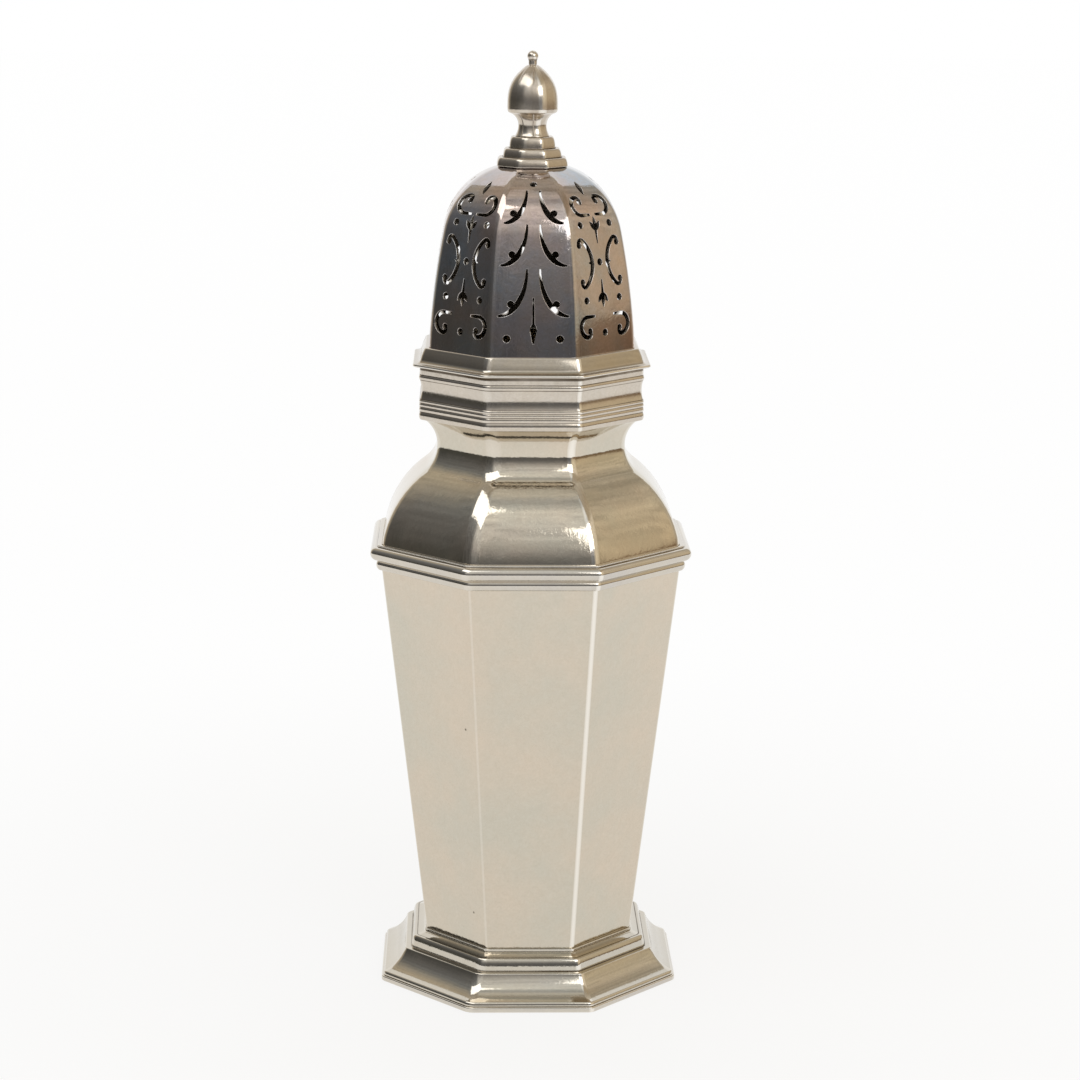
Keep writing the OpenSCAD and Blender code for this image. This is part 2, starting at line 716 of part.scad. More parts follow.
module pierced_dome() {
    outside = concat(
        arc(wall_c, wall_r, dome_lean, wall_lean),
        arc(crown_c, crown_r, wall_lean, crown_lean));
    inside = concat(
        [[dome_a - dome_t, z_dome - over]],
        arc(wall_c, wall_r - dome_t, dome_lean, wall_lean),
        [for (q = arc(crown_c, crown_r - dome_t, wall_lean, crown_lean)) if (q[1] < z_crown - dome_t) q],
        [[crown_a, z_crown - dome_t]]);
    color("#9A9690")
        difference() {
            octagon(outside);
            octagon(inside);
            translate([0, 0, z_crown - dome_t - over]) cylinder(h = dome_t + 2 * over, d = tang_hole_d);
            for (k = [0:2:panels - 1])
                rotate([0, 0, k * turn]) leaf_panel();
            for (k = [1:2:panels - 1])
                rotate([0, 0, k * turn]) scroll_panel();
        }
}

// Finial

module finial_plinth() {
    z_mid = z_crown + plinth_low_h;
    z_up = z_mid + plinth_mid_h;
    low_a = crown_a + plinth_over / 2;
    mid_a = low_a - plinth_step / 2;
    up_a = mid_a - plinth_step / 2;
    outside = concat(
        ovolo(low_a - plinth_round, z_crown, plinth_low_h, plinth_round),
        ovolo(mid_a - plinth_round, z_mid, plinth_mid_h, plinth_round),
        ovolo(up_a - plinth_round, z_up, plinth_up_h, plinth_round));
    color("#CFC8BB")
        difference() {
            octagon(outside);
            translate([0, 0, z_crown - over]) cylinder(h = z_plinth - z_crown + 2 * over, d = tang_hole_d);
        }
}

stem_a = stem_w / 2;
stem_turn_low = asin(stem_low_h / stem_low_r);
stem_turn_up = asin(stem_up_h / stem_up_r);
stem_top_a = stem_a + stem_up_r * (1 - cos(stem_turn_up));
knop_a = stem_top_a + knop_over;
// The top rises nearly upright and then closes quickly to its small flat
knop_full = 3;
knop_flat_share = pow(1 - knop_flat_w / 2 / knop_a, 1 / knop_full);
z_knop_top = z_round + knop_h * knop_flat_share;
z_tang = z_crown - dome_t - nut_h - tang_end;

module finial_knop() {
    top_steps = 12;
    outside = concat(
        arc([stem_a + stem_low_r, z_stem], stem_low_r, 180 + stem_turn_low, 180),
        arc([stem_a + stem_up_r, z_stem], stem_up_r, 180, 180 - stem_turn_up),
        reversed(ovolo(stem_top_a, z_round, -knop_edge_h, knop_over)),
        [for (i = [1:top_steps])
            let (t = knop_flat_share * i / top_steps)
            [knop_a * (1 - pow(t, knop_full)), z_round + knop_h * t]]);
    color("#C4BDB0") {
        octagon(outside);
        translate([0, 0, z_tang]) cylinder(h = z_stem - z_tang, d = tang_d);
    }
}

module finial_bead() {
    color("#D3CCC0")
        translate([0, 0, z_knop_top]) {
            cylinder(h = bead_neck_h + bead_d / 4, d = bead_neck_d);
            translate([0, 0, bead_neck_h + bead_d / 2]) sphere(d = bead_d);
        }
}

module finial_nut() {
    color("#A79F93")
        translate([0, 0, z_crown - dome_t - nut_h])
            difference() {
                cylinder(h = nut_h, r = nut_w / 2 / cos(30), $fn = 6);
                translate([0, 0, -over]) cylinder(h = nut_h + 2 * over, d = tang_hole_d);
            }
}

foot_rim();
foot();
base_plate();
lower_body();
girdle_band();
shoulder();
neck_collar();
cover_sleeve();
cover_flange();
pierced_dome();
finial_plinth();
finial_knop();
finial_bead();
finial_nut();
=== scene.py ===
from math import acos, asin, atan2, ceil, copysign, cos, degrees, dist, hypot, pi, radians, sin, sqrt, tan

import bpy
from mathutils import Euler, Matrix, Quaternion, Vector
from mathutils.geometry import delaunay_2d_cdt


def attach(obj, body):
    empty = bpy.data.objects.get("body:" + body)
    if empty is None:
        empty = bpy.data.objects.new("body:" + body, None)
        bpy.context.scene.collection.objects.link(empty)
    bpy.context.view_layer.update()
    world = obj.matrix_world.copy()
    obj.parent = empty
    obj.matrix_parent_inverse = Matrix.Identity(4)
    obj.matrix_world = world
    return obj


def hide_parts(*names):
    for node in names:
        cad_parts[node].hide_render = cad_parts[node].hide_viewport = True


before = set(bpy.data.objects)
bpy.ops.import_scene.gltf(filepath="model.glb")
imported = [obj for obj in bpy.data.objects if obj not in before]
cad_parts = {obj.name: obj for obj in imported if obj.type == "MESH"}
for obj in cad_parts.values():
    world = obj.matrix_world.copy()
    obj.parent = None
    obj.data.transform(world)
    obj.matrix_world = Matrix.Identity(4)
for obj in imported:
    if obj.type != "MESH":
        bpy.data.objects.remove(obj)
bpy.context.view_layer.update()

# Lengths in this file are in millimetres and half widths are from the axis to a flat of the octagon.
MM = 0.001
PANELS = 8
TURN = 2 * pi / PANELS
HALF_TURN = TURN / 2
# Degrees between the points of a round, and points round an arris, an oval, an eased corner and the knop.
ARC_STEP = 5
CORNER_STEPS, OVAL_STEPS, EASE_STEPS, KNOP_STEPS = 8, 12, 4, 14
# Corners of a section that turn by more than this are eased, over at most this share of what meets there.
CORNER_TURN, EASE_SHARE = radians(8), 0.4
# Points of a flat lie about this far apart, and this near to its ends.
FLAT_STEP, NEAR_END = 4, 0.6
# Faces look out past the first of these shares of a normal, and to the axis below the second.
LOOKS_OUT, LOOKS_IN = 0.2, -0.3
# Places closer together than this are one place.
SAME = 1e-6
# Arrises of hand work, round from the right end of the front panel: how soft each is, times its radius.
ARRIS_SOFT = (0.9, 1.1, 0.9, 1.2, 0.8, 1.0, 0.9, 1.7)
BODY_ARRIS_SOFT = (1.0, 0.7, 0.6, 0.8, 0.6, 0.7, 0.6, 0.5)
# How far each arris is rubbed bright, how that fades to its sides, and how far an eased edge is rubbed; the
# bright is partly wear and partly a painted highlight.
ARRIS_RUB = (1.0, 0.4, 0.5, 0.3, 0.5, 0.4, 0.3, 0.25)
RUB_FADE, EDGE_RUB = 0.6, 0.35
# Marks on the points of a mesh, read by the finishes: the first lightens the colour, for wear and a painted
# highlight, and the second darkens it brown, for tarnish and painted shade.
MARKS = "wear", "grime"
# Panels are rubbed a little round over this length beside an arris, up to this lean.
RUBBED_L, RUBBED_LEAN = 6.0, radians(2.4)

# Sizes of the caster. The foot's steps, the collar's members, the flange's hollow and the dome's cuts follow
# the reflections in the photograph and differ a little from the solids. The rest is as in the solids.
SHEET = 0.9
FOOT_RIM, FOOT_RIM_IN, Z_WIRE = 32.1, 29.9, 1.2
FOOT_ROOT, FOOT_EDGE_OUT, FOOT_COVE_R = 31.45, 0.25, 4.4
FOOT_ROLL, FOOT_ROLL_OUT, FOOT_SHELF = 24.7, 0.93, 1.4
Z_EDGE, Z_COVE, Z_ROLL, Z_FOOT = 2.1, 6.85, 9.45, 10.1
# The foot's cove is shallow, a roll stands over it, and a slope runs from the roll up to the body.
COVE_TOP, COVE_BOW, ROLL_START, FOOT_SLOPE, FOOT_SLOPE_TOP, SLOPE_HOLLOW = 26.9, 0.75, 14, 24.3, 22.75, 0.09
BASE, BODY_FOOT, BODY = 22.6, 22.3, 31.55
Z_BODY, Z_GIRDLE, Z_SEAM, Z_SHOULDER = 10.8, 92.4, 94.6, 97.8
GIRDLE_LOW, GIRDLE_LOW_OUT, GIRDLE_UP, GIRDLE_UP_OUT = 32.25, 0.5, 33.1, 0.9
GIRDLE_UP_H, GIRDLE_TOP = 2.8, 32.5
SHOULDER_LEAN, SHOULDER_H, NECK, NECK_R, MOUTH = 9.5, 20.6, 19.9, 7.0, 21.9
COLLAR_T = 0.7
# Members of the collar from the bottom up: height and bulge. The broad one is hollow, the rest are reeds.
COLLAR = ((1.7, 0.22), (1.05, 0.18), (0.85, 0.18), (0.75, 0.18), (4.1, -0.3), (1.1, 0.2))
# Height of the collar's plain top, and of the band at its top that is darkened as painted shade under the
# flange.
COLLAR_TOP_H, GAP_H = 1.7, 0.6
SLEEVE, SLEEVE_T, SLEEVE_DEPTH, SLEEVE_LEAD_H, SLEEVE_LEAD_IN = 21.78, 0.7, 10.0, 1.0, 0.25
LIP_H, LIP_OUT, LIP_RIM, LEDGE, RISE, SLOPE_LEAN, HOLLOW_R = 0.65, 0.15, 0.2, 0.8, 3.3, 21.0, 1.35
DOME, DOME_T, DOME_H, CROWN = 21.65, 0.9, 37.3, 6.9
DOME_LEAN, WALL_LEAN, CROWN_LEAN = (radians(d) for d in (3.2, 11.3, 74))
PLINTH, PLINTH_STEP, PLINTH_ROUND = 7.4, 1.3, 0.7
PLINTH_H = (1.9, 1.85, 2.4)
STEM, STEM_LOW_R, STEM_UP_R, STEM_LOW_H, STEM_UP_H = 2.95, 4.0, 2.75, 2.3, 2.6
KNOP_EDGE_H, KNOP_OVER, KNOP_H, KNOP_FULL, KNOP_FLAT = 0.95, 0.47, 9.6, 3, 1.1
BEAD_R, BEAD_NECK_R, BEAD_NECK_H = 1.15, 0.875, 0.65
TANG_R, TANG_L = 1.1, 9.25
# Bow of the flange's slope, left by rubbing, and how far its rim is rubbed bright, partly a painted highlight
# on the lip.
SLOPE_BOW, RIM_RUB = 0.075, 0.8

# Levels that follow from them.
TUBE = MOUTH + SHEET
FLARE_IN = NECK + NECK_R - TUBE
Z_NECK = Z_SHOULDER + SHOULDER_H
Z_COLLAR = Z_NECK + sqrt(NECK_R ** 2 - FLARE_IN ** 2)
Z_MOUTH = Z_COLLAR + sum(h for h, out in COLLAR) + COLLAR_TOP_H
Z_LIP = Z_MOUTH + LIP_H
Z_DOME = Z_LIP + RISE
Z_CROWN = Z_DOME + DOME_H
Z_PLINTH = Z_CROWN + sum(PLINTH_H)
Z_STEM = Z_PLINTH + STEM_LOW_H
Z_KNOP = Z_STEM + STEM_UP_H
Z_ROUND = Z_KNOP + KNOP_EDGE_H


# Sections. A point is (half width, height, normal out, normal up, wear and painted highlight, tarnish and
# painted shade).

def spread(start, end, steps):
    """Even values from start to end, with both."""
    return [start + (end - start) * i / steps for i in range(steps + 1)]


def unit(x, y):
    """The same direction with length one."""
    size = hypot(x, y) or 1.0
    return x / size, y / size


def arc(centre, radius, start, end):
    """Points of a round about a centre, between two angles in degrees; clockwise ones are hollows."""
    side = 1 if end > start else -1
    turns = [radians(d) for d in spread(start, end, max(3, ceil(abs(end - start) / ARC_STEP)))]
    return [(centre[0] + radius * cos(t), centre[1] + radius * sin(t),
             side * cos(t), side * sin(t), 0.0, 0.0) for t in turns]


def bowed(p, q, out):
    """Round from p to q that stands out by a length, or is let in by it."""
    length = dist(p, q)
    r = (length * length / 4 + out * out) / (2 * abs(out))
    turn = degrees(asin(min(1, length / (2 * r))))
    n = unit(q[1] - p[1], p[0] - q[0])
    reach = out - copysign(r, out)
    centre = ((p[0] + q[0]) / 2 + n[0] * reach, (p[1] + q[1]) / 2 + n[1] * reach)
    facing = degrees(atan2(n[1], n[0]))
    if out > 0:
        return arc(centre, r, facing - turn, facing + turn)
    return arc(centre, r, facing + 180 + turn, facing + 180 - turn)


def swell(root, z, h, out):
    """Upright round of height h on its root."""
    return bowed((root, z), (root, z + h), out)


def oval(at, out, h, start, end):
    """Points of an upright oval about a place, between two angles in degrees."""
    points = []
    for d in spread(start, end, OVAL_STEPS):
        t = radians(d)
        points.append((at[0] + out * cos(t), at[1] + h * sin(t), *unit(h * cos(t), out * sin(t)), 0.0, 0.0))
    return points


def straight(p, q):
    """Flat from p to q, with points near its ends so that wear and grime stay there."""
    length = dist(p[:2], q[:2])
    n = unit(q[1] - p[1], p[0] - q[0])
    near = min(NEAR_END, length / 4) / length
    count = max(1, round(length / FLAT_STEP))
    shares = [0, near, *[near + (1 - 2 * near) * i / count for i in range(1, count)], 1 - near, 1]
    return [(p[0] + (q[0] - p[0]) * s, p[1] + (q[1] - p[1]) * s, *n, 0.0, 0.0) for s in shares]


def length_of(member):
    return sum(dist(p[:2], q[:2]) for p, q in zip(member, member[1:]))


def trimmed(member, cut):
    """The member without its first stretch of length cut."""
    for i, (p, q) in enumerate(zip(member, member[1:])):
        d = dist(p[:2], q[:2])
        if d > cut:
            share = cut / d
            return [tuple(a + (b - a) * share for a, b in zip(p, q))] + member[i + 1:]
        cut -= d
    return member[-1:]


def eased(last, corner, first):
    """Rounds a corner off between two places: bright where it stands out, for wear and a painted highlight,
    and brown in a hollow.
    """
    convex = last[2] * first[3] - last[3] * first[2] > 0
    mark = (EDGE_RUB, 0.0) if convex else (0.0, 1.0)
    points = []
    for s in spread(0, 1, EASE_STEPS)[1:-1]:
        at = [(1 - s) ** 2 * last[j] + 2 * s * (1 - s) * corner[j] + s * s * first[j] for j in (0, 1)]
        d = [(1 - s) * (corner[j] - last[j]) + s * (first[j] - corner[j]) for j in (0, 1)]
        points.append((*at, *unit(d[1], -d[0]), *mark))
    return points


def section(items, ease, closed=True):
    """Outline through points and rounds in turn, joined by flats, with each corner eased over a length."""
    members, here = [], None
    for item in items + (items[:1] if closed else []):
        member = item if isinstance(item, list) else None
        start = member[0] if member else item
        if here and dist(here[:2], start[:2]) > SAME:
            members.append(straight(here, start))
        if member and not (closed and members and member is members[0]):
            members.append(member)
        here = member[-1] if member else start
    count = len(members)
    cuts = []
    for i in range(count):
        before, after = members[i - 1], members[i]
        turned = before[-1][2] * after[0][2] + before[-1][3] * after[0][3]
        corner = (closed or i > 0) and turned < cos(CORNER_TURN)
        cuts.append(min(ease, EASE_SHARE * length_of(before), EASE_SHARE * length_of(after)) if corner else 0)
    points = []
    for i in range(count):
        member, corner = members[i], members[i][0]
        if cuts[i]:
            before = trimmed(members[i - 1][::-1], cuts[i])
            member = trimmed(member, cuts[i])
            points += eased(before[0], corner, member[0])
        end = cuts[(i + 1) % count] if (closed or i + 1 < count) else 0
        if end:
            member = trimmed(member[::-1], end)[::-1]
        elif i + 1 < count or closed:
            member = member[:-1]
        points += member
    return points


# Pieces.

def placed(name, data):
    obj = bpy.data.objects.new(name, data)
    bpy.context.scene.collection.objects.link(obj)
    return obj


def mesh_of(name, verts, faces, materials):
    """Mesh from places in millimetres."""
    mesh = bpy.data.meshes.new(name)
    mesh.from_pydata([tuple(c * MM for c in v) for v in verts], [], faces)
    for material in materials:
        mesh.materials.append(material)
    return mesh


def make_piece(name, node, body, verts, faces, normals, marks, materials, indices=None):
    """Object that stands for a CAD node, with a normal for every corner of a face."""
    mesh = mesh_of(name, verts, faces, materials)
    mesh.polygons.foreach_set("use_smooth", [True] * len(faces))
    if indices:
        mesh.polygons.foreach_set("material_index", indices)
    for key, column in zip(MARKS, zip(*marks)):
        mesh.attributes.new(key, "FLOAT", "POINT").data.foreach_set("value", column)
    mesh.normals_split_custom_set(normals)
    obj = placed(name, mesh)
    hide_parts(node)
    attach(obj, body)


def ring(a, corner_r, soft):
    """Points round a rounded octagon: place, normal, and how far an arris is rubbed bright, partly a painted
    highlight.
    """
    points = []
    for k in range(PANELS):
        mid = -pi / 2 + HALF_TURN + k * TURN
        r = min(a, corner_r * soft[k])
        reach = (a - r) / cos(HALF_TURN)
        corner = (reach * cos(mid), reach * sin(mid))
        beside = min(RUBBED_L, (a - r) * tan(HALF_TURN) / 2)
        for i in range(-1, CORNER_STEPS + 2):
            on_arris = 0 <= i <= CORNER_STEPS
            share = min(max(i / CORNER_STEPS, 0), 1)
            t = mid - HALF_TURN + TURN * share
            along = 0 if on_arris else copysign(beside, i)
            shade = mid + (HALF_TURN - RUBBED_LEAN) * (2 * share - 1) if on_arris else t
            rub = ARRIS_RUB[k] * sin(pi * share) ** RUB_FADE if on_arris else 0.0
            points.append((corner[0] + r * cos(t) - along * sin(t),
                           corner[1] + r * sin(t) + along * cos(t),
                           cos(shade), sin(shade), rub))
    return points


def swept(name, node, body, points, corner_r, material, closed=True, soft=ARRIS_SOFT):
    """A section carried round the octagon. An open one starts and ends on the axis."""
    verts, vert_normals, marks, faces = [], [], [], []
    count = PANELS * (CORNER_STEPS + 3)
    rows = []
    for a, z, out, up, wear, grime in points:
        if a < SAME:
            rows.append([len(verts)] * count)
            verts.append((0, 0, z))
            vert_normals.append((0, 0, copysign(1, up)))
            marks.append((0, 0))
            continue
        rows.append(range(len(verts), len(verts) + count))
        around = ring(a, corner_r(a, out), soft)
        out, up = unit(out, up)
        for x, y, nx, ny, rub in around:
            verts.append((x, y, z))
            vert_normals.append((nx * out, ny * out, up))
            # An arris's rub, partly a painted highlight, joins the wear mark where the face looks out.
            marks.append((max(wear, rub if out > LOOKS_OUT else 0), grime))
    pairs = list(zip(rows, rows[1:])) + ([(rows[-1], rows[0])] if closed else [])
    for low, high in pairs:
        for j in range(count):
            k = (j + 1) % count
            quad = [low[j], low[k], high[k], high[j]]
            faces.append([v for i, v in enumerate(quad) if v not in quad[:i]])
    normals = [vert_normals[v] for face in faces for v in face]
    make_piece(name, node, body, verts, faces, normals, marks, [material])


# Finishes.

def linear(hex_colour):
    """sRGB hex to the linear colour that a shader takes."""
    parts = [int(hex_colour[i:i + 2], 16) / 255 for i in (1, 3, 5)]
    return (*[c / 12.92 if c <= 0.04045 else ((c + 0.055) / 1.055) ** 2.4 for c in parts], 1.0)


def per_m(size):
    """Texture scale for a pattern of that size in millimetres."""
    return 1 / (size * MM)


def add(tree, kind, inputs=(), stops=(), **settings):
    """Adds a shader node. Its inputs are named or in order, and a node among them gives its first output."""
    made = tree.nodes.new("ShaderNode" + kind)
    for key, value in settings.items():
        setattr(made, key, value)
    for socket, value in inputs.items() if isinstance(inputs, dict) else enumerate(inputs):
        if isinstance(value, bpy.types.Node):
            value = value.outputs[0]
        if isinstance(value, bpy.types.NodeSocket):
            tree.links.new(value, made.inputs[socket])
        else:
            made.inputs[socket].default_value = value
    for _ in stops[2:]:
        made.color_ramp.elements.new(1.0)
    for i, (place, colour) in enumerate(stops):
        made.color_ramp.elements[i].position = place
        made.color_ramp.elements[i].color = colour
    return made


def cleared(owner):
    """Empty node tree of a material or of the world."""
    owner.use_nodes = True
    owner.node_tree.nodes.clear()
    return owner.node_tree


# Sockets of a colour mix.
FACTOR, MIX_A, MIX_B, MIX_OUT = 0, 6, 7, 2
# Clouds, mottle, grain, waves and hammer marks: size in millimetres, detail, roughness and distortion.
NOISES = ((20, 4.0, 0.6, 0.0), (1.5, 3.0, 0.65, 0.8), (0.5, 2.0, 0.7, 0.0), (26, 1.0, 0.4, 0.0),
          (5, 2.0, 0.5, 0.0))
# Which ways the polishing scratches lie.
SCRATCH_TURNS = (1.1, 0.3, 0.2), (-0.8, 0.9, 1.1), (0.3, 1.3, -0.6)
# Depth of the fine unevenness of a panel, as a share of the broad one.
FINE_SHARE = 0.06


def silver(name, colour, cool, haze, ripple, scratch, speckle=0.16, grime_colour="#5B4E3E"):
    """Sterling silver. Colour and cool are the two tints of its haze, and haze is its roughness. Ripple and
    scratch are the depths of its waves and scratches, and speckle is how strong its fine marks are."""
    material = bpy.data.materials.new("sterling_silver_" + name)
    tree = cleared(material)
    at = add(tree, "TexCoord").outputs["Object"]
    wear, grime = (add(tree, "Attribute", attribute_name=key).outputs["Fac"] for key in MARKS)
    cloud, mottle, grain, wave, plane = (
        add(tree, "TexNoise", {"Vector": at, "Scale": per_m(size), "Detail": detail, "Roughness": rough,
                               "Distortion": bent}) for size, detail, rough, bent in NOISES)
    # Clouds of haze, the first tarnish of silver that stands in a cupboard.
    cloud_share = add(tree, "MapRange", {"Value": cloud, "From Min": 0.35, "From Max": 0.65})
    # Fine mottle, where finger marks and dried polish were not rubbed out.
    mottle_share = add(tree, "MapRange", {"Value": mottle, "From Min": 0.3, "From Max": 0.8,
                                          "To Max": speckle})
    # Grain of old polishing.
    grain_share = add(tree, "MapRange", {"Value": grain, "From Min": 0.35, "From Max": 0.7,
                                         "To Max": 0.6 * speckle})
    # Edges and arrises rubbed bright by handling and polishing, with a painted highlight on them too: the
    # wear mark lightens the colour.
    bright = add(tree, "Math", (wear, 0.85), operation="MULTIPLY")
    # Brown tarnish that polish leaves in the corners, and painted shade where the same mark lies in the gap
    # under the flange and deep in the dome's cuts.
    dirt = add(tree, "Math", (grime, cloud), operation="MULTIPLY")
    dirt_share = add(tree, "MapRange", {"Value": dirt, "From Min": 0.1, "From Max": 0.6})
    # Pits half a millimetre wide, a few to a panel.
    cells = add(tree, "TexVoronoi", {"Vector": at, "Scale": per_m(11), "Randomness": 1.0})
    rare = add(tree, "SeparateColor", [cells.outputs["Color"]])
    chosen = add(tree, "Math", (rare, 0.7), operation="GREATER_THAN")
    pit = add(tree, "MapRange", {"Value": cells.outputs["Distance"], "From Min": 0.014, "From Max": 0.03,
                                 "To Min": 0.75, "To Max": 0.0})
    pit_share = add(tree, "Math", (pit, chosen), operation="MULTIPLY")
    tint = linear(colour)
    for share, over in ((cloud_share, cool), (mottle_share, "#B9AA93"), (grain_share, "#A2988A"),
                        (bright, "#F6F1E8"), (dirt_share, grime_colour), (pit_share, "#4A4238")):
        tint = add(tree, "Mix", {FACTOR: share, MIX_A: tint, MIX_B: linear(over)},
                   data_type="RGBA").outputs[MIX_OUT]
    # Polishing scratches in patches. Real ones are 0.02 mm wide; these are drawn ten times as wide to show.
    streak = None
    for turn in SCRATCH_TURNS:
        laid = add(tree, "Mapping", {"Vector": at, "Rotation": turn,
                                     "Scale": (per_m(0.4), per_m(0.4), per_m(11))})
        lines = add(tree, "TexNoise", {"Vector": laid, "Scale": 1.0, "Detail": 1.0})
        line = add(tree, "MapRange", {"Value": lines, "From Min": 0.6, "From Max": 0.72})
        streak = add(tree, "Math", (streak, line), operation="MAXIMUM") if streak else line
    scratches = add(tree, "Math", (streak, cloud_share), operation="MULTIPLY")
    # Roughness: worn polish, duller in the scratches and the corners, brighter on the rubbed edges.
    rough = add(tree, "MapRange", {"Value": mottle, "From Min": 0.25, "From Max": 0.75,
                                   "To Min": haze - 0.02, "To Max": haze + 0.03})
    for share, more in ((scratches, 0.06), (dirt_share, 0.25), (wear, -0.02)):
        rough = add(tree, "Math", (share, more, rough), operation="MULTIPLY_ADD", use_clamp=True)
    # Panels that hammering and rubbing left a little uneven, so that reflections bend.
    bend = None
    for height, depth in ((wave, ripple), (plane, FINE_SHARE * ripple), (mottle, FINE_SHARE * ripple),
                          (scratches, -scratch)):
        inputs = {"Height": height, "Distance": depth * MM, "Strength": 1.0}
        if bend:
            inputs["Normal"] = bend
        bend = add(tree, "Bump", inputs)
    shader = add(tree, "BsdfPrincipled", {"Base Color": tint, "Metallic": 1.0, "Roughness": rough,
                                          "Normal": bend})
    add(tree, "OutputMaterial", {"Surface": shader})
    return material


# Raised sheet, hand polished: broad even reflections that bend a little, with a warm haze over them.
polished_sheet = silver("polished_sheet", "#D7CAB8", "#CEC8B9", haze=0.055, ripple=0.3, scratch=0.0012)
# Drawn wire, burnished: smooth and even, with crisp lines of light along each reed.
burnished_wire = silver("burnished_wire", "#D6CFC2", "#CFCAC3", haze=0.07, ripple=0.12, scratch=0.0008)
# The collar's wire, rubbed by the cover's edge and fingers: satin, so that light and dark run together.
satin_wire = silver("satin_wire", "#D4CABC", "#D0C8BD", haze=0.13, ripple=0.16, scratch=0.0012, speckle=0.25)
# The flange's wire, handled each time the cover is lifted: darker and browner than the other wires.
worn_wire = silver("worn_wire", "#BDB2A1", "#B9B2A7", haze=0.11, ripple=0.14, scratch=0.0012, speckle=0.3)
# Seamed foot, polished: a little duller than the sheet, with deeper scratches.
polished_foot = silver("polished_foot", "#CFC7B8", "#CBC6BB", haze=0.08, ripple=0.24, scratch=0.0015)
# Saw-pierced sheet, polished after sawing: a thin tarnish that is rosy in places and blue in others.
pierced_sheet = silver("pierced_sheet", "#CFBBB4", "#AEB9C5", haze=0.05, ripple=0.28, scratch=0.0025,
                       speckle=0.4)
# Edge left by the piercing saw: matt and pale, so that it shows as a light line beside the dark of a cut.
sawn_edge = silver("sawn_edge", "#DAD4CA", "#D2CDC4", haze=0.34, ripple=0.06, scratch=0.002, speckle=0.1)
# Cast and turned silver, worn: a soft broad gloss, browner, with the fine specks of a casting.
polished_cast = silver("worn_casting", "#CFC3B3", "#C7BEB3", haze=0.2, ripple=0.12, scratch=0.0015,
                       speckle=0.35)
# Silver left white from the pickle, inside: a fine matt skin, gone grey with age.
pickled_inside = silver("pickled_inside", "#A9A297", "#9C978F", haze=0.42, ripple=0.1, scratch=0.002,
                        grime_colour="#3E362C")


# The body, from the foot up.

def soft_corner(radius, inside=0.4):
    """Corner radius for the outside and for faces that look to the axis."""
    return lambda a, out: radius if out > LOOKS_IN else inside


swept("foot_wire", "foot_rim", "body",
      section([(FOOT_RIM_IN, 0), (FOOT_RIM, 0), (FOOT_RIM, Z_WIRE), (FOOT_RIM_IN, Z_WIRE)], ease=0.35),
      soft_corner(2.0), burnished_wire)

COVE_IN = FOOT_COVE_R + SHEET
ROLL_H = (Z_ROLL - Z_COVE) / (1 - sin(radians(ROLL_START)))
# Width of the foot's edge that lies on the wire.
LAP = 1.2
swept("stepped_foot", "foot", "body", section([
    bowed((FOOT_ROOT + FOOT_EDGE_OUT, Z_WIRE), (FOOT_ROOT, Z_EDGE), FOOT_EDGE_OUT / 3),
    bowed((FOOT_ROOT, Z_EDGE), (COVE_TOP, Z_COVE), -COVE_BOW),
    oval((FOOT_ROLL, Z_ROLL - ROLL_H), FOOT_ROLL_OUT, ROLL_H, ROLL_START, 90),
    bowed((FOOT_SLOPE, Z_ROLL), (FOOT_SLOPE_TOP, Z_FOOT), -SLOPE_HOLLOW),
    (BASE - FOOT_SHELF, Z_FOOT), (BASE - FOOT_SHELF, Z_ROLL - SHEET), (FOOT_ROLL - SHEET, Z_ROLL - SHEET),
    (FOOT_ROLL - SHEET, Z_COVE - SHEET),
    arc((FOOT_ROOT, Z_COVE), COVE_IN, 180 + degrees(asin(SHEET / COVE_IN)),
        180 + degrees(acos(LAP / COVE_IN))),
    (FOOT_ROOT - LAP, Z_WIRE)], ease=0.22), soft_corner(2.0), polished_foot)

swept("base", "base_plate", "body",
      section([(0, Z_FOOT), (BASE, Z_FOOT), (BASE, Z_BODY), (0, Z_BODY)], ease=0.2, closed=False),
      soft_corner(1.0), polished_foot, closed=False)

swept("tapering_body", "lower_body", "body", section([
    (BODY_FOOT, Z_BODY), (BODY, Z_GIRDLE), (BODY, Z_SEAM), (BODY - SHEET, Z_SEAM), (BODY - SHEET, Z_GIRDLE),
    (BODY_FOOT - SHEET, Z_BODY)], ease=0.15), soft_corner(1.6), polished_sheet, soft=BODY_ARRIS_SOFT)

swept("reeded_girdle", "girdle_band", "body", section([
    swell(GIRDLE_LOW, Z_GIRDLE, Z_SEAM - Z_GIRDLE, GIRDLE_LOW_OUT),
    swell(GIRDLE_UP, Z_SEAM, GIRDLE_UP_H, GIRDLE_UP_OUT),
    (GIRDLE_TOP, Z_SEAM + GIRDLE_UP_H), (GIRDLE_TOP, Z_SHOULDER), (BODY, Z_SHOULDER), (BODY, Z_GIRDLE)],
    ease=0.16), soft_corner(1.7, 1.3), burnished_wire)

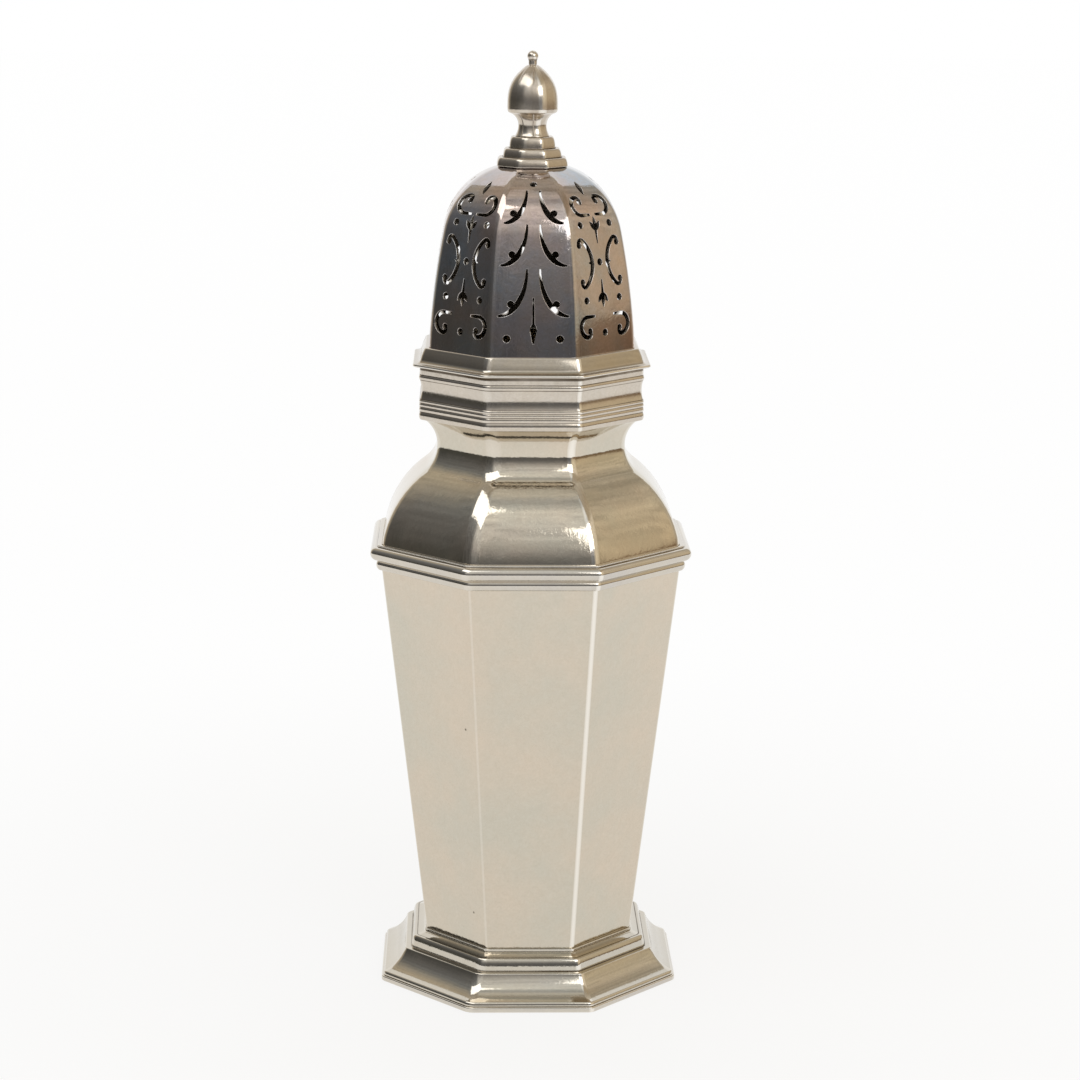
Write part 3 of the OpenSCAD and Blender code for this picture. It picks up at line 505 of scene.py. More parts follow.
lean = radians(SHOULDER_LEAN)
to_neck = (NECK + NECK_R - BODY, SHOULDER_H)
along = to_neck[0] * cos(lean) + to_neck[1] * sin(lean)
SHOULDER_R = (to_neck[0] ** 2 + to_neck[1] ** 2 - NECK_R ** 2) / (2 * (NECK_R - along))
SHOULDER_C = (BODY - SHOULDER_R * cos(lean), Z_SHOULDER - SHOULDER_R * sin(lean))
NECK_C = (NECK + NECK_R, Z_NECK)
SHOULDER_TURN = degrees(atan2(NECK_C[1] - SHOULDER_C[1], NECK_C[0] - SHOULDER_C[0]))
FLARE_TURN = degrees(acos(FLARE_IN / NECK_R))
FLARE_TURN_IN = degrees(acos((FLARE_IN + SHEET) / (NECK_R + SHEET)))
swept("shoulder_and_neck", "shoulder", "body", section([
    (BODY, Z_SEAM),
    arc(SHOULDER_C, SHOULDER_R, SHOULDER_LEAN, SHOULDER_TURN),
    arc(NECK_C, NECK_R, 180 + SHOULDER_TURN, 180 - FLARE_TURN),
    (TUBE, Z_MOUTH), (MOUTH, Z_MOUTH),
    arc(NECK_C, NECK_R + SHEET, 180 - FLARE_TURN_IN, 180 + SHOULDER_TURN),
    arc(SHOULDER_C, SHOULDER_R - SHEET, SHOULDER_TURN, SHOULDER_LEAN),
    (BODY - SHEET, Z_SEAM)], ease=0.2), soft_corner(3.0), polished_sheet)

collar, z = [], Z_COLLAR
for h, bulge in COLLAR:
    collar.append(swell(TUBE + COLLAR_T, z, h, bulge))
    z += h
# Painted shade: the top of the collar, in the gap below the flange, is darkened brown.
gap = [(*point[:4], 0.0, 1.0)
       for point in straight((TUBE + COLLAR_T, Z_MOUTH - GAP_H), (TUBE + COLLAR_T, Z_MOUTH))]
swept("reeded_collar", "neck_collar", "body",
      section(collar + [gap, (TUBE, Z_MOUTH), (TUBE, Z_COLLAR)], ease=0.12),
      soft_corner(1.6, 0.8), satin_wire)


# The cover, from its sleeve up.

swept("cover_tube", "cover_sleeve", "cover", section([
    (SLEEVE - SLEEVE_LEAD_IN, Z_MOUTH - SLEEVE_DEPTH), (SLEEVE, Z_MOUTH - SLEEVE_DEPTH + SLEEVE_LEAD_H),
    (SLEEVE, Z_MOUTH), (SLEEVE - SLEEVE_T, Z_MOUTH), (SLEEVE - SLEEVE_T, Z_MOUTH - SLEEVE_DEPTH)], ease=0.15),
    soft_corner(1.2), polished_cast)

slope = radians(SLOPE_LEAN)
HOLLOW = DOME + LEDGE + (HOLLOW_R + (RISE - HOLLOW_R) * sin(slope)) / cos(slope)
hollow = arc((HOLLOW, Z_LIP + HOLLOW_R), HOLLOW_R, 270, 180 + SLOPE_LEAN)
swept("moulded_flange", "cover_flange", "cover", section([
    [(*point[:4], RIM_RUB, 0.0) for point in swell(HOLLOW + LIP_RIM, Z_MOUTH, LIP_H, LIP_OUT)], hollow,
    bowed(hollow[-1][:2], (DOME + LEDGE, Z_DOME), SLOPE_BOW),
    (DOME - DOME_T, Z_DOME), (DOME - DOME_T, Z_MOUTH)], ease=0.3),
    soft_corner(1.6, 0.6), worn_wire)

# Each step of the plinth stands out at its foot and rounds back to its top.
plinth, a, z = [], PLINTH, Z_CROWN
for h in PLINTH_H:
    plinth.append(oval((a - PLINTH_ROUND, z), PLINTH_ROUND, h, 0, 90))
    a, z = a - PLINTH_STEP, z + h
swept("stepped_plinth", "finial_plinth", "cover",
      section([(0, Z_CROWN), *plinth, (0, Z_PLINTH)], ease=0.25, closed=False),
      soft_corner(1.3), polished_cast, closed=False)

STEM_TURN_LOW = degrees(asin(STEM_LOW_H / STEM_LOW_R))
STEM_TURN_UP = degrees(asin(STEM_UP_H / STEM_UP_R))
STEM_TOP = STEM + STEM_UP_R * (1 - cos(radians(STEM_TURN_UP)))
KNOP = STEM_TOP + KNOP_OVER
KNOP_TOP_SHARE = (1 - KNOP_FLAT / KNOP) ** (1 / KNOP_FULL)
Z_KNOP_TOP = Z_ROUND + KNOP_H * KNOP_TOP_SHARE
knop_top = []
for share in spread(0, KNOP_TOP_SHARE, KNOP_STEPS):
    knop_top.append((KNOP * (1 - share ** KNOP_FULL), Z_ROUND + KNOP_H * share,
                     *unit(KNOP_H, KNOP * KNOP_FULL * share ** (KNOP_FULL - 1)), 0.0, 0.0))
# The knop's arrises are worn to rounds of this share of its half width and this much more.
KNOP_SOFT_SHARE, KNOP_SOFT = 0.5, 0.4
swept("knop", "finial_knop", "cover", section([
    (0, Z_PLINTH - TANG_L), (TANG_R, Z_PLINTH - TANG_L), (TANG_R, Z_PLINTH),
    arc((STEM + STEM_LOW_R, Z_STEM), STEM_LOW_R, 180 + STEM_TURN_LOW, 180),
    arc((STEM + STEM_UP_R, Z_STEM), STEM_UP_R, 180, 180 - STEM_TURN_UP),
    oval((STEM_TOP, Z_ROUND), KNOP_OVER, KNOP_EDGE_H, -90, 0),
    knop_top, (0, Z_KNOP_TOP)], ease=0.3, closed=False),
    lambda a, out: KNOP_SOFT_SHARE * a + KNOP_SOFT, polished_cast, closed=False)

Z_BEAD_MID = Z_KNOP_TOP + BEAD_NECK_H + BEAD_R
bead_turn = degrees(acos(BEAD_NECK_R / BEAD_R))
# The bead is round, so its corners take its whole width.
swept("top_bead", "finial_bead", "cover", section([
    (0, Z_KNOP_TOP), (BEAD_NECK_R, Z_KNOP_TOP), arc((0, Z_BEAD_MID), BEAD_R, -bead_turn, 90)],
    ease=0.2, closed=False),
    lambda a, out: a, polished_cast, closed=False)


# The pierced dome. Its wall is a long round and a short one, and v is the length up a panel from its base.

wall_k = (cos(DOME_LEAN) - cos(WALL_LEAN), sin(WALL_LEAN) - sin(DOME_LEAN))
crown_k = (cos(WALL_LEAN) - cos(CROWN_LEAN), sin(CROWN_LEAN) - sin(WALL_LEAN))
dome_k = wall_k[0] * crown_k[1] - crown_k[0] * wall_k[1]
WALL_R = ((DOME - CROWN) * crown_k[1] - crown_k[0] * DOME_H) / dome_k
CROWN_R = (wall_k[0] * DOME_H - wall_k[1] * (DOME - CROWN)) / dome_k
WALL_L = WALL_R * (WALL_LEAN - DOME_LEAN)
PANEL_L = WALL_L + CROWN_R * (CROWN_LEAN - WALL_LEAN)
# Radius of the dome's arrises, and how far they are rubbed bright, partly a painted highlight.
DOME_CORNER, DOME_RUB = 2.3, 0.2
# Width of the edge that polishing rounded beside a cut, and how much wider the cut is filed inside.
SAW_EDGE, FILED_BACK = 0.12, 0.25


def wall_point(v):
    """Half width, height and lean of the wall."""
    if v < WALL_L:
        a, z, r, start, t = DOME, Z_DOME, WALL_R, DOME_LEAN, DOME_LEAN + v / WALL_R
    else:
        a, z, r, start, t = CROWN, Z_CROWN, CROWN_R, CROWN_LEAN, WALL_LEAN + (v - WALL_L) / CROWN_R
    return a + r * (cos(t) - cos(start)), z + r * (sin(t) - sin(start)), t


def panel_half(v):
    return wall_point(v)[0] * tan(HALF_TURN)


def flat_half(v):
    """Half width of the flat of a panel, between its rounded arrises."""
    return (wall_point(v)[0] - DOME_CORNER) * tan(HALF_TURN)


# Cuts of the piercing saw, as flat outlines about the middle of a panel.

# Points along each kind of cut.
DOT_STEPS, LEAF_STEPS, HOOK_STEPS, WHISKER_STEPS = 20, 18, 8, 16
TAIL_STEPS, LONG_STEPS, PETAL_STEPS = 4, 20, 12


def curve(x, y, r, start, end, steps):
    return [(x + r * cos(t), y + r * sin(t)) for t in spread(start, end, steps)]


def dot(x, y, d):
    return curve(x, y, d / 2, 0, 2 * pi, DOT_STEPS)[:-1]


def cut_along(path, tip, full, skew=1.0):
    """Cut that follows a path and swells from its ends."""
    sides = ([], [])
    last = len(path) - 1
    for i, (x, y) in enumerate(path):
        p, q = path[max(i - 1, 0)], path[min(i + 1, last)]
        n = unit(p[1] - q[1], q[0] - p[0])
        w = (tip + (full - tip) * sin(pi * (i / last) ** skew)) / 2
        sides[0].append((x + w * n[0], y + w * n[1]))
        sides[1].append((x - w * n[0], y - w * n[1]))
    return sides[0] + sides[1][::-1]


def flipped(outlines):
    return [[(x, -y) for x, y in outline] for outline in outlines]


def moved(outlines, u, v):
    return [[(x + u, y + v) for x, y in outline] for outline in outlines]


def both_sides(outlines):
    return outlines + [[(-x, y) for x, y in outline] for outline in outlines]


LEAF_GAP, LEAF_MARGIN, LEAF_T, LEAF_TIP, LEAF_SKEW = 2.7, 1.3, 1.05, 0.3, 1.25
BUD_D, BUD_SINK, BUD_TURN = 1.36, 0.15, radians(55)
LANCE_SLIT_T, LANCE_SLIT_L, LANCE_T, LANCE_L = 0.42, 5.4, 1.4, 4.0
# Shares of width and length at the lance's tips, at its barbs and where it is widest.
LANCE_TIP, LANCE_BARB_T, LANCE_BARB_ROW, LANCE_WIDE_ROW = 0.3, 0.36, 0.88, 0.7
# Rows are shares of a panel's length from its base, and dots stand at a share of its half width.
LEAF_ROWS = (0.64, 7.6), (0.437, 8.4), (0.196, 9.6)
TOP_DOT_ROW, TOP_DOT_D, LANCE_ROW = 0.857, 1.4, 0.064
LOW_DOT_ROW, LOW_DOT_SHARE, LOW_DOT_D = 0.087, 0.62, 1.5


def leaf(rise, reach):
    """Leaf that drops from the middle and sweeps out, with a bud in its hollow."""
    path = [(reach * (1 - cos(t)), rise * (1 - sin(t))) for t in spread(0, pi / 2, LEAF_STEPS)]
    d = unit(reach * sin(BUD_TURN), -rise * cos(BUD_TURN))
    width = LEAF_TIP + (LEAF_T - LEAF_TIP) * sin(pi * (BUD_TURN / (pi / 2)) ** LEAF_SKEW)
    off = (width + BUD_D) / 2 - BUD_SINK
    bud = dot(reach * (1 - cos(BUD_TURN)) - off * d[1], rise * (1 - sin(BUD_TURN)) + off * d[0], BUD_D)
    return [cut_along(path, LEAF_TIP, LEAF_T, LEAF_SKEW), bud]


def lance():
    """Slit over a barbed blade, from the blade's tip up."""
    half = [(LANCE_TIP * LANCE_SLIT_T, LANCE_L + LANCE_SLIT_L), (LANCE_SLIT_T / 2, LANCE_L),
            (LANCE_BARB_T * LANCE_T, LANCE_BARB_ROW * LANCE_L), (LANCE_T / 2, LANCE_WIDE_ROW * LANCE_L),
            (LANCE_TIP * LANCE_SLIT_T, 0)]
    return [half + [(-x, y) for x, y in half[::-1]]]


def leaf_panel():
    cuts = [dot(0, TOP_DOT_ROW * PANEL_L, TOP_DOT_D)]
    for row, rise in LEAF_ROWS:
        v = row * PANEL_L
        cuts += both_sides(moved(leaf(rise, panel_half(v) - LEAF_MARGIN - LEAF_GAP / 2), LEAF_GAP / 2, v))
    v_dot = LOW_DOT_ROW * PANEL_L
    cuts += moved(lance(), 0, LANCE_ROW * PANEL_L)
    return cuts + both_sides([dot(LOW_DOT_SHARE * panel_half(v_dot), v_dot, LOW_DOT_D)])


WHISKER_R, WHISKER_L, HOOK_R, BALL_D = 2.1, 2.2, 0.86, 1.25
# A ball's middle lies this far from the middle of its hook.
BALL_R = HOOK_R - BALL_D / 5
SCROLL_END_T, SCROLL_T, SCROLL_DOT_D, SCROLL_MARGIN = 0.45, 1.0, 1.4, 1.7
LONG_HALF_H, LONG_R, LONG_REACH, CUSP_H = 4.7, 6.0, 2.3, 0.55
SPRIG_PETAL_L, SPRIG_PETAL_T, SPRIG_SPREAD, SPRIG_TAIL_L = 2.4, 0.8, radians(36), 3.2
HOOK_TURN, LONG_HOOK_TURN = radians(215), radians(150)
PETAL_L, PETAL_T, SCROLL_DOT_SHARE = 3.6, 1.1, 0.58
PETAL_ROW, HEAD_ROW, SPRIG_UP_ROW, LONG_ROW = 0.78, 0.72, 0.605, 0.44
SPRIG_LOW_ROW, SCROLL_FOOT_ROW, SCROLL_LOW_DOT_ROW = 0.262, 0.135, 0.1


def whisker_scroll():
    """Scroll that bulges outward, with a hooked ball above and a straight whisker below."""
    hook_y = WHISKER_R - HOOK_R
    path = curve(0, hook_y, HOOK_R, HOOK_TURN, pi / 2, HOOK_STEPS)[:-1]
    path += curve(0, 0, WHISKER_R, pi / 2, -pi / 2, WHISKER_STEPS)
    path += [(-x, -WHISKER_R) for x in spread(0, WHISKER_L, TAIL_STEPS)[1:]]
    ball = dot(BALL_R * cos(HOOK_TURN), hook_y + BALL_R * sin(HOOK_TURN), BALL_D)
    return [cut_along(path, SCROLL_END_T, SCROLL_T), ball]


def long_scroll():
    """Scroll that bulges to the middle, with a hooked ball at each end and a cusp in its hollow."""
    half_turn = asin(LONG_HALF_H / LONG_R)
    hook_turn = half_turn + LONG_HOOK_TURN
    mid = LONG_REACH + LONG_R
    hook = (mid - (LONG_R - HOOK_R) * cos(half_turn), (LONG_R - HOOK_R) * sin(half_turn))
    top = curve(*hook, HOOK_R, pi - hook_turn, pi - half_turn, HOOK_STEPS)[:-1]
    path = top + curve(mid, 0, LONG_R, pi - half_turn, pi + half_turn, LONG_STEPS)
    path += [(x, -y) for x, y in top[::-1]]
    ball = dot(hook[0] - BALL_R * cos(hook_turn), hook[1] + BALL_R * sin(hook_turn), BALL_D)
    cusp = [(LONG_REACH, CUSP_H), (LONG_REACH + SCROLL_T / 2 + CUSP_H, 0), (LONG_REACH, -CUSP_H)]
    return [cut_along(path, SCROLL_END_T, SCROLL_T), ball, *flipped([ball]), cusp]


def petal(length, t, turn=0.0):
    """Petal with a point at each end, from the origin up, turned to one side."""
    half = [(t / 2 * sin(pi * s) + SCROLL_END_T / 8, length * s) for s in spread(0, 1, PETAL_STEPS)]
    return [spun((x, y, 0), turn)[:2] for x, y in half + [(-x, y) for x, y in half[::-1]]]


def sprig():
    """Three petals over a tapering tail."""
    root = SPRIG_PETAL_L / 4
    petals = [petal(SPRIG_PETAL_L + root, SPRIG_PETAL_T)]
    petals += [petal(SPRIG_PETAL_L, SPRIG_PETAL_T, s * SPRIG_SPREAD) for s in (-1, 1)]
    w, end = SPRIG_PETAL_T / 2, SCROLL_END_T / 4
    return moved(petals, 0, -root) + [[(w, 0), (-w, 0), (-end, -SPRIG_TAIL_L), (end, -SPRIG_TAIL_L)]]


def scroll_panel():
    v_low, v_up, v_long = (row * PANEL_L for row in (SPRIG_LOW_ROW, SPRIG_UP_ROW, LONG_ROW))
    v_head, v_foot = HEAD_ROW * PANEL_L, SCROLL_FOOT_ROW * PANEL_L
    lift = SPRIG_PETAL_L / 3
    cuts = moved([petal(PETAL_L, PETAL_T)], 0, PETAL_ROW * PANEL_L)
    for v, scroll in ((v_head, whisker_scroll()), (v_foot, flipped(whisker_scroll()))):
        cuts += both_sides(moved(scroll, panel_half(v) - SCROLL_MARGIN - WHISKER_R, v))
    cuts += moved(sprig(), 0, v_up) + flipped(moved(sprig(), 0, -v_low - lift))
    for v, y in ((v_up, v_up + lift), (v_low, v_low)):
        cuts += both_sides([dot(SCROLL_DOT_SHARE * panel_half(v), y, SCROLL_DOT_D)])
    cuts += moved(both_sides(long_scroll()), 0, v_long)
    return cuts + [dot(0, v, SCROLL_DOT_D) for v in (v_long, SCROLL_LOW_DOT_ROW * PANEL_L)]


def counter_clockwise(outline):
    area = sum(p[0] * q[1] - q[0] * p[1] for p, q in zip(outline, outline[1:] + outline[:1]))
    return outline if area > 0 else outline[::-1]


# Spacing of the points on a panel, how far odd rows are shifted, and how clear they stay of arrises and cuts.
GRID, STAGGER, SIDE_CLEAR, CUT_CLEAR = 1.1, 0.25, 0.5, 0.35
# Steps along the base, the crown and a side of a panel.
BASE_STEPS, CROWN_STEPS, SIDE_STEPS = 12, 6, 40
# Points of a panel closer than the first are joined, and points this near to its outline lie on it.
JOINED, TOUCHING = 1e-5, 1e-4
ROWS = spread(0, PANEL_L, SIDE_STEPS)


def panel_mesh(cuts):
    """Triangles of a panel's flat without its cuts: points in (u, v), faces, rim edges and sawn edges."""
    side = [(flat_half(v), v) for v in ROWS]
    top, low = flat_half(PANEL_L), flat_half(0)
    outline = [(u, 0) for u in spread(-low, low, BASE_STEPS)[1:-1]] + side
    outline += [(u, PANEL_L) for u in spread(top, -top, CROWN_STEPS)[1:-1]] + [(-u, v) for u, v in side[::-1]]
    points = list(outline)
    faces = [list(range(len(outline)))]
    edge_points = []
    for cut in map(counter_clockwise, cuts):
        faces.append(list(range(len(points), len(points) + len(cut))))
        points += cut
        edge_points += cut
        edge_points += [((p[0] + q[0]) / 2, (p[1] + q[1]) / 2) for p, q in zip(cut, cut[1:] + cut[:1])]
    for i in range(1, int(PANEL_L / GRID)):
        v = i * GRID
        half = flat_half(v) - SIDE_CLEAR
        count = max(1, int(2 * half / GRID))
        for k in range(count + 1):
            u = -half + 2 * half * (k + STAGGER * (i % 2)) / (count + STAGGER)
            if min(dist((u, v), p) for p in edge_points) > CUT_CLEAR:
                points.append((u, v))
    made, _, triangles, _, _, origin = delaunay_2d_cdt([Vector(p) for p in points], [], faces, 1, JOINED)
    kept = [t for t, faces_in in zip(triangles, origin) if faces_in == [0]]
    used = {(p, t[i - 2]) for t in kept for i, p in enumerate(t)}
    open_edges = [(p, t[i - 2]) for t in kept for i, p in enumerate(t) if (t[i - 2], p) not in used]

    def on_outline(p):
        u, v = made[p]
        return v < TOUCHING or v > PANEL_L - TOUCHING or abs(abs(u) - flat_half(v)) < TOUCHING

    rim, sawn = [], []
    for p, q in open_edges:
        (rim if on_outline(p) and on_outline(q) else sawn).append((p, q))
    return [tuple(p) for p in made], kept, rim, sawn


class DomeMesh:
    """Collects faces with a normal at each corner, and joins points that coincide."""

    def __init__(self):
        self.verts, self.faces, self.normals, self.marks, self.indices, self.found = [], [], [], [], [], {}

    def point(self, at, mark):
        key = tuple(round(c, 3) for c in at)
        if key not in self.found:
            self.found[key] = len(self.verts)
            self.verts.append(at)
            self.marks.append(mark)
        return self.found[key]

    def face(self, corners, index):
        """Corners are (place, normal, marks)."""
        numbers = [self.point(at, mark) for at, normal, mark in corners]
        if len(set(numbers)) == len(numbers):
            self.faces.append(numbers)
            self.normals += [normal for at, normal, mark in corners]
            self.indices.append(index)


# Marks for the dome: none; a painted highlight; and the brown of the grime mark, over the inside and as
# painted shade deep in the cuts.
PLAIN, BRIGHT, DARK = (0.0, 0.0), (0.7, 0.0), (0.0, 1.0)
OUTSIDE, INSIDE, SAWN = 0, 1, 2


def spun(vector, angle):
    c, s = cos(angle), sin(angle)
    return (c * vector[0] - s * vector[1], s * vector[0] + c * vector[1], vector[2])


def wall_corner(u, v, turn, depth, k, mark, inward=False):
    """Corner of a face on panel k, at a depth in the wall; turn is how far round the arris it lies."""
    a, z, t = wall_point(v)
    r = DOME_CORNER if turn else 0
    normal = (sin(turn) * cos(t), -cos(turn) * cos(t), sin(t))
    at = (u + r * sin(turn) - depth * normal[0], -(a - r) - r * cos(turn) - depth * normal[1],
          max(z - depth * normal[2], Z_DOME))
    if inward:
        normal = tuple(-c for c in normal)
    return spun(at, k * TURN), spun(normal, k * TURN), mark


def metal_side(points, sawn):
    """Which way the metal lies at each point of a sawn edge."""
    into = {}
    for p, q in sawn:
        n = unit(points[p][1] - points[q][1], points[q][0] - points[p][0])
        for e in (p, q):
            old = into.get(e, (0.0, 0.0))
            into[e] = (old[0] + n[0], old[1] + n[1])
    return {e: unit(*n) for e, n in into.items()}


def end_row(points, rim, v):
    """Places along one end of a panel, and on round the arris beside it."""
    ends = {e for edge in rim for e in edge if abs(points[e][1] - v) < TOUCHING}
    row = [(u, 0.0) for u in sorted(points[e][0] for e in ends)]
    row += [(flat_half(v), t) for t in spread(0, TURN, CORNER_STEPS)[1:]]
    return zip(row, row[1:])


def build_dome():
    """Each panel with its cuts, the rounded arris beside it, and its ends."""
    dome = DomeMesh()
    kinds = [panel_mesh(leaf_panel()), panel_mesh(scroll_panel())]
    turns = spread(0, TURN, CORNER_STEPS)
    for k in range(PANELS):
        points, triangles, rim, sawn = kinds[k % 2]
        into = metal_side(points, sawn)

        def outer(p):
            u, v = points[p]
            n = into.get(p, (0, 0))
            u, v = u + SAW_EDGE * n[0], v + SAW_EDGE * n[1]
            beside = max(0, 1 - (flat_half(v) - abs(u)) / RUBBED_L)
            at, normal, mark = wall_corner(u, v, 0, 0, k, PLAIN)
            return at, spun(normal, copysign(RUBBED_LEAN * beside, u)), mark

        def filed(p, depth):
            n, back = into.get(p, (0, 0)), FILED_BACK * max(0, depth - SAW_EDGE) / (DOME_T - SAW_EDGE)
            return points[p][0] + back * n[0], points[p][1] + back * n[1]

        def sawn_wall(p, depth):
            n, t = into[p], wall_point(points[p][1])[2]
            normal = (-n[0], -n[1] * sin(t), -n[1] * cos(t))
            # The top of a cut's wall is lightened as a painted highlight, and the wall deeper in is darkened
            # as painted shade.
            mark = BRIGHT if depth < DOME_T / 2 else DARK
            return wall_corner(*filed(p, depth), 0, depth, k, mark)[0], spun(normal, k * TURN), mark

        def inner(p):
            return wall_corner(*filed(p, DOME_T), 0, DOME_T, k, DARK, True)

        for t in triangles:
            dome.face([outer(p) for p in t], OUTSIDE)
            dome.face([inner(p) for p in t[::-1]], INSIDE)
        for p, q in sawn:
            edge = [sawn_wall(e, SAW_EDGE) for e in (p, q)]
            deep = [sawn_wall(e, DOME_T) for e in (p, q)]
            dome.face([outer(q), outer(p), edge[0], edge[1]], OUTSIDE)
            dome.face([edge[1], edge[0], deep[0], deep[1]], SAWN)
        # Rounded arris to the next panel.
        for low, high in zip(ROWS, ROWS[1:]):
            for start, end in zip(turns, turns[1:]):
                places = [(low, start), (low, end), (high, end), (high, start)]
                out = []
                for v, t in places:
                    shine = (DOME_RUB * sin(pi * t / TURN), 0.0)
                    at, normal, mark = wall_corner(flat_half(v), v, t, 0, k, shine)
                    out.append((at, spun(normal, RUBBED_LEAN * (1 - 2 * t / TURN)), mark))
                dome.face(out, OUTSIDE)
                back = [wall_corner(flat_half(v), v, t, DOME_T, k, DARK, True) for v, t in places[::-1]]
                dome.face(back, INSIDE)
        # The base stands on the flange, and the crown is closed under the plinth.
        for ends in end_row(points, rim, 0):
            rim_out = [wall_corner(u, 0, t, 0, k, PLAIN)[0] for u, t in ends]
            rim_in = [wall_corner(u, 0, t, DOME_T, k, DARK)[0] for u, t in ends]
            dome.face([(at, (0, 0, -1), DARK) for at in (*rim_out[::-1], *rim_in)], INSIDE)
        for ends in end_row(points, rim, PANEL_L):
            for depth, up, mark, index in ((0, 1, PLAIN, OUTSIDE), (DOME_T, -1, DARK, INSIDE)):
                fan = [wall_corner(u, PANEL_L, t, depth, k, mark)[0] for u, t in ends[::up]]
                fan.append((0, 0, fan[0][2]))
                dome.face([(at, (0, 0, up), mark) for at in fan], index)
    make_piece("dome", "pierced_dome", "cover", dome.verts, dome.faces, dome.normals,
               dome.marks, [pierced_sheet, pickled_inside, sawn_edge], dome.indices)


build_dome()

# The nut under the crown keeps its CAD shape.
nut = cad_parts["finial_nut"]
nut.data.materials.clear()
nut.data.materials.append(polished_cast)


# Table, light and camera.

WHITE = linear("#FFFFFF")
# The table's reach to each side, to the front and to the back.
TABLE_HALF, TABLE_FRONT, TABLE_BACK = 1100, 1300, 4000
# Height that the room and the lamps are set out about.
STUDIO_Z = 100
# The room that the silver mirrors: degrees above the horizon, and the colour there.
FRONT_WALL = ((-11, "#BFBCB6"), (-5, "#616161"), (4, "#6C6C6E"), (12, "#898989"), (17, "#AAA8A8"),
              (23, "#C5C4C2"), (28, "#D6D6D4"), (38, "#E2E2E1"), (46, "#ECEDEB"), (59, "#F1F1ED"),
              (65, "#C5C7C5"), (72, "#BCBDBC"), (77, "#D4D1C8"), (85, "#CECAC0"))
LEFT_WALL = ((0, "#50504D"), (10, "#5B5B5B"), (20, "#69696A"), (30, "#797A7C"), (42, "#909395"),
             (85, "#AFA697"))
RIGHT_WALL = ((-8, "#BFAF9B"), (-4, "#86715B"), (0.3, "#97826A"), (1.7, "#C8B89E"), (10, "#D7C8AD"),
              (30, "#DED0B8"), (38, "#D6C8B3"), (44, "#B3A48B"), (55, "#A4957E"), (85, "#ADA495"))
CEILING_BEHIND = "#BFB5A4"
# Sine of the height at which the walls' colours start.
WALL_START = sin(radians(-20))
# The room's distance, and in degrees its mesh step, its start, its ceiling and its reach to each side.
ROOM_R, ROOM_STEP, ROOM_LOW, ROOM_CEILING, ROOM_WIDE = 1600, 4, -40, 60, 136


def staged(name, verts, faces, material):
    obj = placed(name, mesh_of(name, verts, faces, [material]))
    return obj


def table():
    """Matt white table top that runs a long way back, and ends a little way off in front and beside."""
    material = bpy.data.materials.new("matt_white_laminate")
    tree = cleared(material)
    at = add(tree, "TexCoord").outputs["Object"]
    # Seen or mirrored it is nearly white, but within 300 mm of the caster more of the shadow shows.
    away = add(tree, "VectorMath", [at], operation="LENGTH")
    share = add(tree, "MapRange", {"Value": away.outputs["Value"], "From Max": 0.3, "To Min": 0.8,
                                   "To Max": 0.97}, interpolation_type="SMOOTHSTEP")
    matt = add(tree, "BsdfDiffuse", {"Color": linear("#F6F5F2")})
    glow = add(tree, "Emission", {"Color": WHITE, "Strength": 1.0})
    path = add(tree, "LightPath")
    seen = path.outputs["Is Camera Ray"]
    for ray in ("Is Glossy Ray", "Is Transmission Ray"):
        seen = add(tree, "Math", (seen, path.outputs[ray]), operation="MAXIMUM")
    white = add(tree, "Math", (share, seen), operation="MULTIPLY")
    mixed = add(tree, "MixShader", (white, matt, glow))
    add(tree, "OutputMaterial", {"Surface": mixed})
    corners = [(-TABLE_HALF, -TABLE_FRONT, 0), (TABLE_HALF, -TABLE_FRONT, 0), (TABLE_HALF, TABLE_BACK, 0),
               (-TABLE_HALF, TABLE_BACK, 0)]
    staged("table_top", corners, [(0, 1, 2, 3)], material)


def sweep():
    """White sweep behind the table."""
    world = bpy.data.worlds.new("white_sweep")
    bpy.context.scene.world = world
    tree = cleared(world)
    sky = add(tree, "Background", {"Color": WHITE, "Strength": 1.0})
    add(tree, "OutputWorld", {"Surface": sky})


def toward(azimuth, elevation):
    """Direction from the caster, in degrees from the front to the right, and up."""
    a, e = radians(azimuth), radians(elevation)
    return Vector((sin(a) * cos(e), -cos(a) * cos(e), sin(e)))


def height_share(elevation):
    """Place of a height above the horizon on a wall's ramp."""
    return (sin(radians(elevation)) - WALL_START) / (1 - WALL_START)


